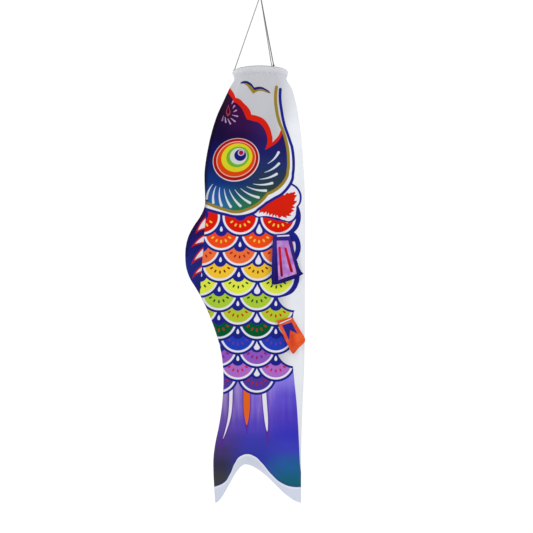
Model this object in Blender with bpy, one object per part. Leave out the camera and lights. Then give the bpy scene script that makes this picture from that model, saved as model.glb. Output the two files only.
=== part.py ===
"""Carp streamer: a printed cloth windsock hung by three cords from a barrel swivel and a ring.

Units are metres, +Z is up. The origin is the point of the hanging ring that bears on its hook.
The carp hangs head up. Its back faces -X, its belly +X, and its right side -Y.
"""
import math

import bmesh
import bpy
from mathutils import Matrix, Vector

MM = 0.001
X_AXIS = Vector((1, 0, 0))
Y_AXIS = Vector((0, 1, 0))
Z_AXIS = Vector((0, 0, 1))
SIDES = {"right": -1, "left": 1}

# Hanging ring and barrel swivel
RING_INNER_RADIUS = 6.4 * MM
RING_WIRE_RADIUS = 0.8 * MM
EYE_INNER_RADIUS = 1.7 * MM
EYE_WIRE_RADIUS = 0.45 * MM
EYE_NECK = 0.5 * MM
EYE_BEND = (math.radians(14), math.radians(332))
BARREL_LENGTH = 6.0 * MM
BARREL_RADIUS = 2.2 * MM
BARREL_END_RADIUS = 1.2 * MM
BARREL_SHOULDER_RADIUS = 1.9 * MM
BARREL_SHOULDER_DROP = 0.7 * MM
BARREL_WAIST_DROP = 1.6 * MM
BARREL_BORE_RADIUS = 1.55 * MM
BARREL_NECK_RADIUS = 0.8 * MM
BARREL_WALL = 0.9 * MM
HEAD_RADIUS = 1.15 * MM
HEAD_LENGTH = 0.8 * MM
HEAD_STEP = 0.05 * MM
RUNNING_GAP = 0.3 * MM

# Bridle
CORD_RADIUS = 0.55 * MM
LOOP_LENGTH = 15.0 * MM
LOOP_HALF_WIDTH = 2.4 * MM
LOOP_FULLNESS = 1.5
BRIDLE_HEIGHT = 127.0 * MM
CORD_ANGLES = {"left": math.radians(180), "front": math.radians(-60), "back": math.radians(60)}
BRIDLE_KNOT_SIZE = (1.9 * MM, 1.9 * MM, 2.6 * MM)
HOOP_KNOT_SIZE = (1.5 * MM, 1.5 * MM, 1.3 * MM)

# Mouth hoop and its hem
HOOP_RADIUS = 42.65 * MM
HOOP_WIRE_RADIUS = 0.8 * MM
HOOP_END_GAP = 0.5 * MM
SLEEVE_RADIUS = 1.45 * MM
SLEEVE_LENGTH = 11.0 * MM
SLEEVE_ANGLE = math.radians(90)
HEM_OUTER = 2.35 * MM
HEM_CLOTH = 0.5 * MM
HEM_HEIGHT = 8.5 * MM
HEM_SHOULDER = 1.5 * MM
THREAD_RADIUS = 0.25 * MM
THREAD_RISE = 0.15  # share of the way up the hem's outer wall

# Cloth side panels
CLOTH = 0.6 * MM
SEAM_CLOTH = 0.5 * MM
SEAM_HALF_GAP = 0.2 * MM
HEAD_TOP = 3.0 * MM
# levels of the flare under the hem, as distances below the hoop, and the level where even rows begin
HEAD_FLARE = [HEAD_TOP, HEM_HEIGHT, 11 * MM, 14 * MM, 20 * MM, 27 * MM, 36 * MM]
HEAD_EVEN_FROM = 48 * MM
PANEL_ROWS = {"head": 9, "front_body": 8, "rear_body": 6, "tail": 8}
PANEL_COLUMNS = 24
TURNS = [math.pi * j / PANEL_COLUMNS for j in range(PANEL_COLUMNS + 1)]

# Facets of round shapes
RING_SEGMENTS = 28
HOOP_SEGMENTS = 48
EYE_SEGMENTS = 22
BARREL_SEGMENTS = 18
LOOP_SEGMENTS = 8
SLEEVE_SEGMENTS = 6
FOLD_SEGMENTS = 6
KNOT_SEGMENTS = (12, 8)
CORNER_SEGMENTS = 5
RING_SIDES = 10
WIRE_SIDES = 8
CORD_SIDES = 10
SLEEVE_SIDES = 12
THREAD_SIDES = 5
SHARP_FROM = math.radians(35)

# Shape of the cloth tube: (distance below the hoop, distance from the axis), in millimetres
BACK_EDGE = [(3, 42.2), (9, 42.2), (13, 43), (25, 50), (41, 57.7), (72, 71.7), (111, 83), (160, 91),
             (222, 91.8), (245, 106), (271, 119), (300, 122.6), (328, 118.5), (344, 109.3), (379, 90),
             (432, 70), (470, 62), (510, 60.4), (561, 65), (617, 75.6), (650, 76.6), (702, 73.4)]
BELLY_EDGE = [(3, 42.2), (9, 42.2), (13, 43.4), (29, 52.5), (60, 60), (91, 65), (129, 68.8),
              (202, 72.5), (338, 72.5), (468, 71.7), (530, 69.3), (594, 67), (702, 66.2)]
HALF_DEPTH = [(3, 41.5), (9, 41.5), (25, 42), (60, 39), (150, 31), (226, 24.5), (375, 18),
              (500, 11.5), (600, 6.5), (702, 3)]
ROUND_DOWN_TO = 10.0 * MM
LENS_FROM = 75.0 * MM
TAIL_TIP = 701.0 * MM
NOTCH_TOP = 637.0 * MM
NOTCH_PLACE = -0.27
NOTCH_ROUNDING = 0.12
NOTCH_POWER = 0.85

# Where the cloth bends: distance of each hinge below the hoop, and the slit left open around it
FRONT_BEND = 226.0 * MM
REAR_BEND = 375.0 * MM
TAIL_BEND = 500.0 * MM
FRONT_SLIT = 14.5 * MM
REAR_SLIT = 12.5 * MM
TAIL_SLIT = 10.5 * MM

# Sewn-on fins: hinge ends on the panel (x, distance below the hoop), then the free corners, in millimetres
FIN_THICKNESS = 0.8 * MM
FIN_CLEARANCE = 1.5 * MM
FINS = {
    "pectoral_fin": {"hinge": [(21.5, 263), (47.7, 262)], "free": [(69.4, 329), (20, 347)], "round": 3},
    "belly_fin": {"hinge": [(26.4, 403), (51.7, 397)], "free": [(73.6, 436), (50.7, 460)], "round": 8},
}

# Heights worked out from the sizes above
RING_CENTRE_Z = -RING_INNER_RADIUS
RING_BOTTOM_Z = -2 * RING_INNER_RADIUS - RING_WIRE_RADIUS
UPPER_EYE_Z = RING_BOTTOM_Z + RING_WIRE_RADIUS + RUNNING_GAP - EYE_INNER_RADIUS
EYE_OUTER_RADIUS = EYE_INNER_RADIUS + 2 * EYE_WIRE_RADIUS
BARREL_TOP_Z = UPPER_EYE_Z - EYE_OUTER_RADIUS - EYE_NECK
BARREL_BOTTOM_Z = BARREL_TOP_Z - BARREL_LENGTH
LOWER_EYE_Z = BARREL_BOTTOM_Z - EYE_NECK - EYE_OUTER_RADIUS
LOOP_PIVOT_Z = LOWER_EYE_Z - EYE_INNER_RADIUS - EYE_WIRE_RADIUS
KNOT_Z = LOOP_PIVOT_Z - LOOP_LENGTH
HOOP_Z = KNOT_Z - BRIDLE_HEIGHT


def clear_scene():
    for item in list(bpy.data.objects):
        bpy.data.objects.remove(item, do_unlink=True)


def material(name, colour, roughness, metallic):
    made = bpy.data.materials.new(name)
    made.use_nodes = True
    shader = made.node_tree.nodes["Principled BSDF"]
    shader.inputs["Base Color"].default_value = (*colour, 1.0)
    shader.inputs["Roughness"].default_value = roughness
    shader.inputs["Metallic"].default_value = metallic
    return made


def steel(name):
    return material(name, (0.62, 0.63, 0.65), 0.3, 1.0)


def brass(name):
    return material(name, (0.72, 0.55, 0.25), 0.32, 1.0)


def cord_fibre(name):
    return material(name, (0.72, 0.72, 0.74), 0.75, 0.0)


def white_cloth(name):
    return material(name, (0.86, 0.86, 0.9), 0.8, 0.0)


def printed_cloth(name, colour):
    return material(name, colour, 0.75, 0.0)


def joint_empty(name, place, parent):
    empty = bpy.data.objects.new(name, None)
    bpy.context.scene.collection.objects.link(empty)
    empty.parent = parent
    empty.location = Vector(place) - (parent.matrix_world.translation if parent else Vector())
    bpy.context.view_layer.update()
    return empty


def add_piece(name, mesh, parent, finish):
    """Turn a bmesh in world coordinates into an object whose origin is its parent's joint."""
    bmesh.ops.recalc_face_normals(mesh, faces=mesh.faces)
    bmesh.ops.translate(mesh, verts=mesh.verts, vec=-parent.matrix_world.translation)
    data = bpy.data.meshes.new(name)
    mesh.to_mesh(data)
    mesh.free()
    data.shade_smooth()
    data.set_sharp_from_angle(angle=SHARP_FROM)
    data.materials.append(finish)
    piece = bpy.data.objects.new(name, data)
    bpy.context.scene.collection.objects.link(piece)
    piece.parent = parent
    return piece


def bridge(mesh, one, other, closed):
    """Faces between two rows of vertices of equal length."""
    count = len(one)
    for i in range(count if closed else count - 1):
        j = (i + 1) % count
        mesh.faces.new((one[i], one[j], other[j], other[i]))


def wire(points, radii, sides, closed=False, facing=None):
    """A round wire along points; its first section has a facet towards the direction facing."""
    mesh = bmesh.new()
    count = len(points)
    rows = []
    across = facing
    for i, point in enumerate(points):
        before = points[i - 1] if closed or i else point
        after = points[(i + 1) % count] if closed or i < count - 1 else point
        along = (after - before).normalized()
        if across is None:
            across = along.orthogonal()
        across = (across - along * across.dot(along)).normalized()
        up = along.cross(across)
        turns = [2 * math.pi * (k + 0.5) / sides for k in range(sides)]
        rows.append([mesh.verts.new(point + radii[i] * (math.cos(t) * across + math.sin(t) * up))
                     for t in turns])
    for one, other in zip(rows, rows[1:]):
        bridge(mesh, one, other, True)
    if closed:
        bridge(mesh, rows[-1], rows[0], True)
    else:
        mesh.faces.new(rows[0])
        mesh.faces.new(rows[-1])
    return mesh


def revolve(profile, segments, centre):
    """Turn a closed outline of (radius, height) points about a vertical axis through centre."""
    mesh = bmesh.new()
    rows = []
    for k in range(segments):
        turn = 2 * math.pi * k / segments
        out = Vector((math.cos(turn), math.sin(turn), 0))
        rows.append([mesh.verts.new(centre + radius * out + Vector((0, 0, height)))
                     for radius, height in profile])
    for k in range(segments):
        bridge(mesh, rows[k], rows[(k + 1) % segments], True)
    return mesh


def lump(centre, size):
    """An egg-shaped knot."""
    mesh = bmesh.new()
    shape = Matrix.Translation(centre) @ Matrix.Diagonal((*size, 1))
    around, down = KNOT_SEGMENTS
    bmesh.ops.create_uvsphere(mesh, u_segments=around, v_segments=down, radius=1, matrix=shape)
    return mesh


def circle(centre, radius, across, up, start, end, steps):
    """Points along an arc from the angle start to the angle end."""
    angles = [start + (end - start) * i / steps for i in range(steps + 1)]
    return [centre + radius * (math.cos(a) * across + math.sin(a) * up) for a in angles]


def hanging_ring():
    half = math.pi / RING_SEGMENTS
    radius = RING_INNER_RADIUS + RING_WIRE_RADIUS
    centre = Vector((0, 0, RING_CENTRE_Z))
    start = math.pi / 2 + half
    points = circle(centre, radius, X_AXIS, Z_AXIS, start, start + 2 * math.pi, RING_SEGMENTS)[:-1]
    # the middle of the top inner facet lies at the origin, so its corners are slightly further out
    flat = radius - RING_INNER_RADIUS / math.cos(half)
    section = flat / math.cos(math.pi / RING_SIDES)
    inward = (centre - points[0]).normalized()
    return wire(points, [section] * RING_SEGMENTS, RING_SIDES, closed=True, facing=inward)


def swivel_eye(centre_z, direction):
    """An eye bent from one wire, with a shank and a head; direction is +1 above the barrel, -1 below."""
    radius = EYE_INNER_RADIUS + EYE_WIRE_RADIUS
    centre = Vector((0, 0, centre_z))
    down = -direction * Z_AXIS
    neck = centre + down * EYE_OUTER_RADIUS
    barrel_end = neck + down * EYE_NECK
    inside = barrel_end + down * (BARREL_WALL + RUNNING_GAP)
    head_end = inside + down * HEAD_LENGTH
    points = [head_end, inside, inside - down * HEAD_STEP, neck]
    points += circle(centre, radius, down, Y_AXIS, *EYE_BEND, EYE_SEGMENTS)
    radii = [HEAD_RADIUS] * 2 + [EYE_WIRE_RADIUS] * (len(points) - 2)
    return wire(points, radii, WIRE_SIDES, facing=X_AXIS)


def swivel_barrel():
    half = BARREL_LENGTH / 2
    bore_half = half - BARREL_WALL
    outside = [(BARREL_NECK_RADIUS, half), (BARREL_END_RADIUS, half),
               (BARREL_SHOULDER_RADIUS, half - BARREL_SHOULDER_DROP),
               (BARREL_RADIUS, half - BARREL_WAIST_DROP)]
    inside = [(BARREL_BORE_RADIUS, bore_half), (BARREL_NECK_RADIUS, bore_half)]
    profile = outside + [(r, -z) for r, z in reversed(outside)]
    profile += [(r, -z) for r, z in reversed(inside)] + inside
    return revolve(profile, BARREL_SEGMENTS, Vector((0, 0, BARREL_TOP_Z - half)))


def bridle_loop():
    """A drop-shaped cord loop over the lower eye, its two ends just above the bridle knot."""
    pivot = Vector((0, 0, LOOP_PIVOT_Z))
    arc_radius = EYE_WIRE_RADIUS + RUNNING_GAP + CORD_RADIUS
    over = circle(pivot, arc_radius, X_AXIS, Z_AXIS, 0, math.pi, LOOP_SEGMENTS)
    foot_drop = LOOP_LENGTH - BRIDLE_KNOT_SIZE[2] - RUNNING_GAP
    foot_x = CORD_RADIUS + RUNNING_GAP / 2
    leg = []
    for i in range(1, LOOP_SEGMENTS + 1):
        t = i / LOOP_SEGMENTS
        straight = arc_radius + (foot_x - arc_radius) * t
        bulge = (LOOP_HALF_WIDTH - arc_radius) * math.sin(math.pi * t) ** LOOP_FULLNESS
        leg.append(Vector((straight + bulge, 0, LOOP_PIVOT_Z - foot_drop * t)))
    other_leg = [Vector((-p.x, p.y, p.z)) for p in leg]
    points = list(reversed(leg)) + over + other_leg
    return wire(points, [CORD_RADIUS] * len(points), WIRE_SIDES, facing=Y_AXIS)


def hoop_point(angle, radius, height):
    return Vector((radius * math.cos(angle), radius * math.sin(angle), HOOP_Z + height))


def hoop_knot_centre(angle):
    return hoop_point(angle, HOOP_RADIUS, HEM_OUTER + RUNNING_GAP + HOOP_KNOT_SIZE[2])


def bridle_cord(angle):
    apex = Vector((0, 0, KNOT_Z))
    foot = hoop_knot_centre(angle)
    along = (foot - apex).normalized()
    start = apex + along * (BRIDLE_KNOT_SIZE[2] + RUNNING_GAP)
    end = foot - along * (HOOP_KNOT_SIZE[0] + RUNNING_GAP)
    return wire([start, end], [CORD_RADIUS] * 2, CORD_SIDES)


def mouth_hoop():
    """The hoop wire, whose two ends meet inside the sleeve with a small gap."""
    half_gap = HOOP_END_GAP / HOOP_RADIUS / 2
    start = SLEEVE_ANGLE + half_gap
    end = SLEEVE_ANGLE + 2 * math.pi - half_gap
    points = circle(Vector((0, 0, HOOP_Z)), HOOP_RADIUS, X_AXIS, Y_AXIS, start, end, HOOP_SEGMENTS)
    return wire(points, [HOOP_WIRE_RADIUS] * len(points), WIRE_SIDES, facing=Z_AXIS)


def hoop_sleeve():
    """A curved tube around the joint of the hoop wire."""
    half = SLEEVE_LENGTH / HOOP_RADIUS / 2
    centre = Vector((0, 0, HOOP_Z))
    start, end = SLEEVE_ANGLE - half, SLEEVE_ANGLE + half
    points = circle(centre, HOOP_RADIUS, X_AXIS, Y_AXIS, start, end, SLEEVE_SEGMENTS)
    bore = HOOP_WIRE_RADIUS + RUNNING_GAP
    radii = [SLEEVE_RADIUS] * len(points) + [bore] * len(points)
    there_and_back = points + list(reversed(points))
    mesh = bmesh.new()
    rows = []
    for point, radius in zip(there_and_back, radii):
        out = (point - centre).normalized()
        turns = [2 * math.pi * k / SLEEVE_SIDES for k in range(SLEEVE_SIDES)]
        rows.append([mesh.verts.new(point + radius * (math.cos(t) * out + math.sin(t) * Z_AXIS))
                     for t in turns])
    for k, row in enumerate(rows):
        bridge(mesh, row, rows[(k + 1) % len(rows)], True)
    return mesh


def mouth_hem():
    """Cloth folded over the hoop: two walls joined by a round fold, open at the foot for the panels."""
    def fold(radius, foot_out, foot_in):
        angles = [math.pi * i / FOLD_SEGMENTS for i in range(FOLD_SEGMENTS + 1)]
        arc = [(HOOP_RADIUS + radius * math.cos(a), radius * math.sin(a)) for a in angles]
        outer = [(foot_out, -HEM_HEIGHT), (HOOP_RADIUS + radius, -HEM_SHOULDER)]
        inner = [(HOOP_RADIUS - radius, -HEM_SHOULDER), (foot_in, -HEM_HEIGHT)]
        return outer + arc + inner

    panel = edge_distance(BACK_EDGE, HEM_HEIGHT)
    foot_out = panel + RUNNING_GAP
    foot_in = panel - CLOTH - RUNNING_GAP
    outside = fold(HEM_OUTER, foot_out + HEM_CLOTH, foot_in - HEM_CLOTH)
    inside = fold(HEM_OUTER - HEM_CLOTH, foot_out, foot_in)
    return revolve(outside + list(reversed(inside)), HOOP_SEGMENTS, Vector((0, 0, HOOP_Z)))


def hem_thread():
    """One line of stitching round the outside of the hem, just above its foot."""
    foot = edge_distance(BACK_EDGE, HEM_HEIGHT) + RUNNING_GAP + HEM_CLOTH
    slope = HOOP_RADIUS + HEM_OUTER - foot
    radius = foot + slope * THREAD_RISE + RUNNING_GAP + THREAD_RADIUS
    height = -HEM_HEIGHT + (HEM_HEIGHT - HEM_SHOULDER) * THREAD_RISE
    centre = Vector((0, 0, HOOP_Z + height))
    points = circle(centre, radius, X_AXIS, Y_AXIS, 0, 2 * math.pi, HOOP_SEGMENTS)[:-1]
    return wire(points, [THREAD_RADIUS] * len(points), THREAD_SIDES, closed=True, facing=Z_AXIS)


def edge_distance(edge, below):
    """Smooth curve through an outline's points, as metres from the axis at a distance below the hoop."""
    at = below / MM
    last = len(edge) - 2
    i = next((k for k in range(last + 1) if at <= edge[k + 1][0]), last)

    def slope(k):
        low = edge[max(k - 1, 0)]
        high = edge[min(k + 1, len(edge) - 1)]
        return (high[1] - low[1]) / (high[0] - low[0])

    (x0, y0), (x1, y1) = edge[i], edge[i + 1]
    span = x1 - x0
    t = min(max((at - x0) / span, 0), 1)
    rise = y0 * (2 * t**3 - 3 * t**2 + 1) + y1 * (3 * t**2 - 2 * t**3)
    bend = slope(i) * (t**3 - 2 * t**2 + t) + slope(i + 1) * (t**3 - t**2)
    return (rise + bend * span) * MM


def side_point(turn, below, side, inner=False):
    """A point of the tube wall. turn runs from 0 at the belly seam to pi at the back seam."""
    back = edge_distance(BACK_EDGE, below)
    belly = edge_distance(BELLY_EDGE, below)
    depth = edge_distance(HALF_DEPTH, below)
    middle = (belly - back) / 2
    half_width = (belly + back) / 2
    edge = SEAM_HALF_GAP + SEAM_CLOTH
    if inner:
        half_width -= CLOTH
        depth += SEAM_CLOTH - CLOTH
        edge = SEAM_HALF_GAP
    lens = min(max((below - ROUND_DOWN_TO) / (LENS_FROM - ROUND_DOWN_TO), 0), 1)
    swell = math.sin(turn) * (1 - lens + lens * math.sin(turn))
    return Vector((middle + half_width * math.cos(turn), side * (edge + depth * swell), HOOP_Z - below))


def tail_end(across):
    """How far below the hoop the forked end lies; across runs from -1 at the back to 1 at the belly."""
    reach = (across - NOTCH_PLACE) / (1 - NOTCH_PLACE if across > NOTCH_PLACE else -1 - NOTCH_PLACE)
    rounded = math.hypot(reach, NOTCH_ROUNDING) - NOTCH_ROUNDING
    share = rounded / (math.hypot(1, NOTCH_ROUNDING) - NOTCH_ROUNDING)
    return NOTCH_TOP + (TAIL_TIP - NOTCH_TOP) * share**NOTCH_POWER


def section_panel(side, levels):
    """One side of the tube as a closed sheet; levels[i][j] is the distance below the hoop of a point."""
    mesh = bmesh.new()
    walls = []
    for inner in (False, True):
        grid = [[mesh.verts.new(side_point(turn, below, side, inner)) for turn, below in zip(TURNS, row)]
                for row in levels]
        for one, other in zip(grid, grid[1:]):
            bridge(mesh, one, other, False)
        walls.append(grid)
    outer, inner = walls
    for end in (0, -1):
        bridge(mesh, outer[end], inner[end], False)
        bridge(mesh, [row[end] for row in outer], [row[end] for row in inner], False)
    return mesh


def even_levels(top, bottoms, steps):
    """Rows spaced evenly in each column, from one level top down to that column's own bottom."""
    return [[top + (bottom - top) * i / steps for bottom in bottoms] for i in range(steps + 1)]


def head_panel(side):
    """The head section starts inside the hem, where it is straight, and flares out below it."""
    flare = [[below] * len(TURNS) for below in HEAD_FLARE]
    foot = [FRONT_BEND - FRONT_SLIT / 2] * len(TURNS)
    return section_panel(side, flare + even_levels(HEAD_EVEN_FROM, foot, PANEL_ROWS["head"]))


def front_body_panel(side):
    top = FRONT_BEND + FRONT_SLIT / 2
    foot = [REAR_BEND - REAR_SLIT / 2] * len(TURNS)
    return section_panel(side, even_levels(top, foot, PANEL_ROWS["front_body"]))


def rear_body_panel(side):
    top = REAR_BEND + REAR_SLIT / 2
    foot = [TAIL_BEND - TAIL_SLIT / 2] * len(TURNS)
    return section_panel(side, even_levels(top, foot, PANEL_ROWS["rear_body"]))


def tail_panel(side):
    top = TAIL_BEND + TAIL_SLIT / 2
    foot = [tail_end(math.cos(turn)) for turn in TURNS]
    return section_panel(side, even_levels(top, foot, PANEL_ROWS["tail"]))


def surface_point(x, below, side):
    """The point of the tube wall at a given x, found from the angle whose point has that x."""
    back = edge_distance(BACK_EDGE, below)
    belly = edge_distance(BELLY_EDGE, below)
    across = (x - (belly - back) / 2) / ((belly + back) / 2)
    return side_point(math.acos(across), below, side)


def fin_frame(shape, side):
    """The two ends of the fin's hinge, and its unit vectors along it, down the fin and out of the panel."""
    start, end = [surface_point(x * MM, below * MM, side) for x, below in shape["hinge"]]
    along = (end - start).normalized()
    out = along.cross(Z_AXIS).normalized() * -side
    down = (along * along.z - Z_AXIS).normalized()
    clear = out * FIN_CLEARANCE
    return start + clear, end + clear, along, down, out


def rounded(corners, radius):
    """The outline with each corner after the first two replaced by an arc."""
    outline = list(corners[:2])
    for i in range(2, len(corners)):
        here, before, after = corners[i], corners[i - 1], corners[(i + 1) % len(corners)]
        to_before = (before - here).normalized()
        to_after = (after - here).normalized()
        half = to_before.angle(to_after) / 2
        reach = radius / math.tan(half)
        centre = here + (to_before + to_after).normalized() * radius / math.sin(half)
        first = (here + to_before * reach - centre).normalized()
        last = (here + to_after * reach - centre).normalized()
        outline += [centre + first.slerp(last, k / CORNER_SEGMENTS) * radius
                    for k in range(CORNER_SEGMENTS + 1)]
    return outline


def fin(shape, side):
    """A flat flap that hangs from its hinge edge, just outside the side panel."""
    start, end, along, down, out = fin_frame(shape, side)
    to_flap = Matrix(((along.x, down.x), (along.z, down.z))).inverted()
    corners = []
    for x, below in shape["free"]:
        u, v = to_flap @ Vector((x * MM - start.x, HOOP_Z - below * MM - start.z))
        corners.append(start + u * along + v * down)
    outline = rounded([start, end] + corners, shape["round"] * MM)
    mesh = bmesh.new()
    near = [mesh.verts.new(point) for point in outline]
    far = [mesh.verts.new(point + out * FIN_THICKNESS) for point in outline]
    mesh.faces.new(near)
    mesh.faces.new(far)
    bridge(mesh, near, far, True)
    return mesh


def build():
    clear_scene()
    hanger = joint_empty("hanger_frame", (0, 0, 0), None)
    upper_eye = joint_empty("upper_eye_joint", (0, 0, RING_BOTTOM_Z), hanger)
    barrel = joint_empty("barrel_joint", (0, 0, BARREL_TOP_Z), upper_eye)
    lower_eye = joint_empty("lower_eye_joint", (0, 0, BARREL_BOTTOM_Z), barrel)
    mouth = joint_empty("bridle_joint", (0, 0, LOOP_PIVOT_Z), lower_eye)
    front = joint_empty("front_bend_joint", (0, 0, HOOP_Z - FRONT_BEND), mouth)
    rear = joint_empty("rear_bend_joint", (0, 0, HOOP_Z - REAR_BEND), front)
    tail = joint_empty("tail_bend_joint", (0, 0, HOOP_Z - TAIL_BEND), rear)

    add_piece("hanging_ring", hanging_ring(), hanger, steel("ring_steel"))
    add_piece("swivel_upper_eye", swivel_eye(UPPER_EYE_Z, 1), upper_eye, steel("upper_eye_steel"))
    add_piece("swivel_barrel", swivel_barrel(), barrel, brass("barrel_brass"))
    add_piece("swivel_lower_eye", swivel_eye(LOWER_EYE_Z, -1), lower_eye, steel("lower_eye_steel"))

    add_piece("bridle_loop", bridle_loop(), mouth, cord_fibre("loop_fibre"))
    knot = lump(Vector((0, 0, KNOT_Z)), BRIDLE_KNOT_SIZE)
    add_piece("bridle_knot", knot, mouth, cord_fibre("bridle_knot_fibre"))
    for place, angle in CORD_ANGLES.items():
        add_piece(f"bridle_cord_{place}", bridle_cord(angle), mouth, cord_fibre(f"cord_fibre_{place}"))
        knot = lump(hoop_knot_centre(angle), HOOP_KNOT_SIZE)
        add_piece(f"hoop_knot_{place}", knot, mouth, cord_fibre(f"knot_fibre_{place}"))

    add_piece("mouth_hoop", mouth_hoop(), mouth, steel("hoop_steel"))
    add_piece("hoop_sleeve", hoop_sleeve(), mouth, brass("sleeve_brass"))
    add_piece("mouth_hem", mouth_hem(), mouth, white_cloth("hem_cloth"))
    add_piece("hem_thread", hem_thread(), mouth, white_cloth("thread_fibre"))

    for name, side in SIDES.items():
        add_piece(f"{name}_head_panel", head_panel(side), mouth,
                  printed_cloth(f"{name}_head_print", (0.10, 0.06, 0.35)))
        add_piece(f"{name}_front_body_panel", front_body_panel(side), front,
                  printed_cloth(f"{name}_front_print", (0.85, 0.35, 0.08)))
        add_piece(f"{name}_rear_body_panel", rear_body_panel(side), rear,
                  printed_cloth(f"{name}_rear_print", (0.30, 0.45, 0.15)))
        add_piece(f"{name}_tail_panel", tail_panel(side), tail,
                  printed_cloth(f"{name}_tail_print", (0.20, 0.14, 0.50)))
        for fin_name, parent, colour in (("pectoral_fin", front, (0.16, 0.08, 0.40)),
                                         ("belly_fin", rear, (0.90, 0.20, 0.04))):
            shape = FINS[fin_name]
            hinge = joint_empty(f"{name}_{fin_name}_joint", fin_frame(shape, side)[0], parent)
            add_piece(f"{name}_{fin_name}", fin(shape, side), hinge,
                      printed_cloth(f"{name}_{fin_name}_print", colour))


build()
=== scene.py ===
"""Looks of the carp streamer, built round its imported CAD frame. Metres, +Z up.

The print is drawn in the plane of the two flat sides: across is millimetres from the hanging axis,
positive towards the belly, and below is millimetres under the mouth hoop.
"""

import math

import bpy
import numpy as np
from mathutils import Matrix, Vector


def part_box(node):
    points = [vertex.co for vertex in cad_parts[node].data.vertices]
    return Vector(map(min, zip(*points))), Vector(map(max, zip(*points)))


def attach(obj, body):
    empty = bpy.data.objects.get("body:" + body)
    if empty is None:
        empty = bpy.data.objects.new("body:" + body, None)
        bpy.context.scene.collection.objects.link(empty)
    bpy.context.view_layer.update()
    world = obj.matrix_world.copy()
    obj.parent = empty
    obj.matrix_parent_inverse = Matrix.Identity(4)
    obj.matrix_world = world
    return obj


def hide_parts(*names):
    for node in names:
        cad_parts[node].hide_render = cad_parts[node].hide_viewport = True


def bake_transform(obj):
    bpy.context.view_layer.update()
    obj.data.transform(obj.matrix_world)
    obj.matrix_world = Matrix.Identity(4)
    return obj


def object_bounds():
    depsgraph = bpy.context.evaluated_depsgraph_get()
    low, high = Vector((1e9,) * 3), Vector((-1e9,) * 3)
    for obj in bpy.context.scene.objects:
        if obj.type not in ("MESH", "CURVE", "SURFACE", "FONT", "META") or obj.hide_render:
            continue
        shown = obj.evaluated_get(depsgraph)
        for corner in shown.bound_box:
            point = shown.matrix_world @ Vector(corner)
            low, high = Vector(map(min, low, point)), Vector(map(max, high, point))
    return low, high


MM = 0.001
SIDES = {"right": -1, "left": 1}
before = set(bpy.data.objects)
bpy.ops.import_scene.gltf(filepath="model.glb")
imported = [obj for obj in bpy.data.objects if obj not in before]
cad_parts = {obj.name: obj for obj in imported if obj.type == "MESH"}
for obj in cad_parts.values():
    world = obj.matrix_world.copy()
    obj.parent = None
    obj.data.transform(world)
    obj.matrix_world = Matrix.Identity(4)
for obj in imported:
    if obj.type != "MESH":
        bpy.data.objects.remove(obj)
cad_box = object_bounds()
hoop_low, hoop_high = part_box("mouth_hoop")
HOOP_Z = (hoop_low.z + hoop_high.z) / 2
HOOP_WIRE = (hoop_high.z - hoop_low.z) / 2
HOOP_RADIUS = (hoop_high.x - hoop_low.x) / 2 - HOOP_WIRE
# where the streamer is looked at from; the print is laid out to look right from there
VIEW_X = 0.010
VIEW_Z = HOOP_Z - 0.3158
VIEW_DISTANCE = 1.405
VIEW_ANGLE = math.radians(34.4)
# Screen colours: red, green and blue from 0 to 255
WHITE = (240, 241, 251)
NAVY = (34, 38, 140)
GOLD = (158, 134, 44)
RED = (222, 36, 18)
PURPLE = (96, 44, 150)


def linear(value):
    value /= 255
    return value / 12.92 if value <= 0.04045 else ((value + 0.055) / 1.055) ** 2.4


def shade(colour):
    """A screen colour as the renderer wants it; a colour made by nodes passes through."""
    return (*map(linear, colour), 1.0) if isinstance(colour, tuple) else colour


# ---------------------------------------------------------------- node trees

class Number:
    """A number computed in a material's node tree; arithmetic on it adds Math nodes."""

    def __init__(self, paint, socket):
        self.paint = paint
        self.socket = socket

    def __add__(self, other):
        return self.paint.math("ADD", self, other)

    def __sub__(self, other):
        return self.paint.math("SUBTRACT", self, other)

    def __rsub__(self, other):
        return self.paint.math("SUBTRACT", other, self)

    def __mul__(self, other):
        return self.paint.math("MULTIPLY", self, other)

    def __truediv__(self, other):
        return self.paint.math("DIVIDE", self, other)

    def __gt__(self, other):
        return self.paint.math("GREATER_THAN", self, other)

    def __lt__(self, other):
        return self.paint.math("LESS_THAN", self, other)

    def __abs__(self):
        return self.paint.math("ABSOLUTE", self)

    __radd__ = __add__
    __rmul__ = __mul__


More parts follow.
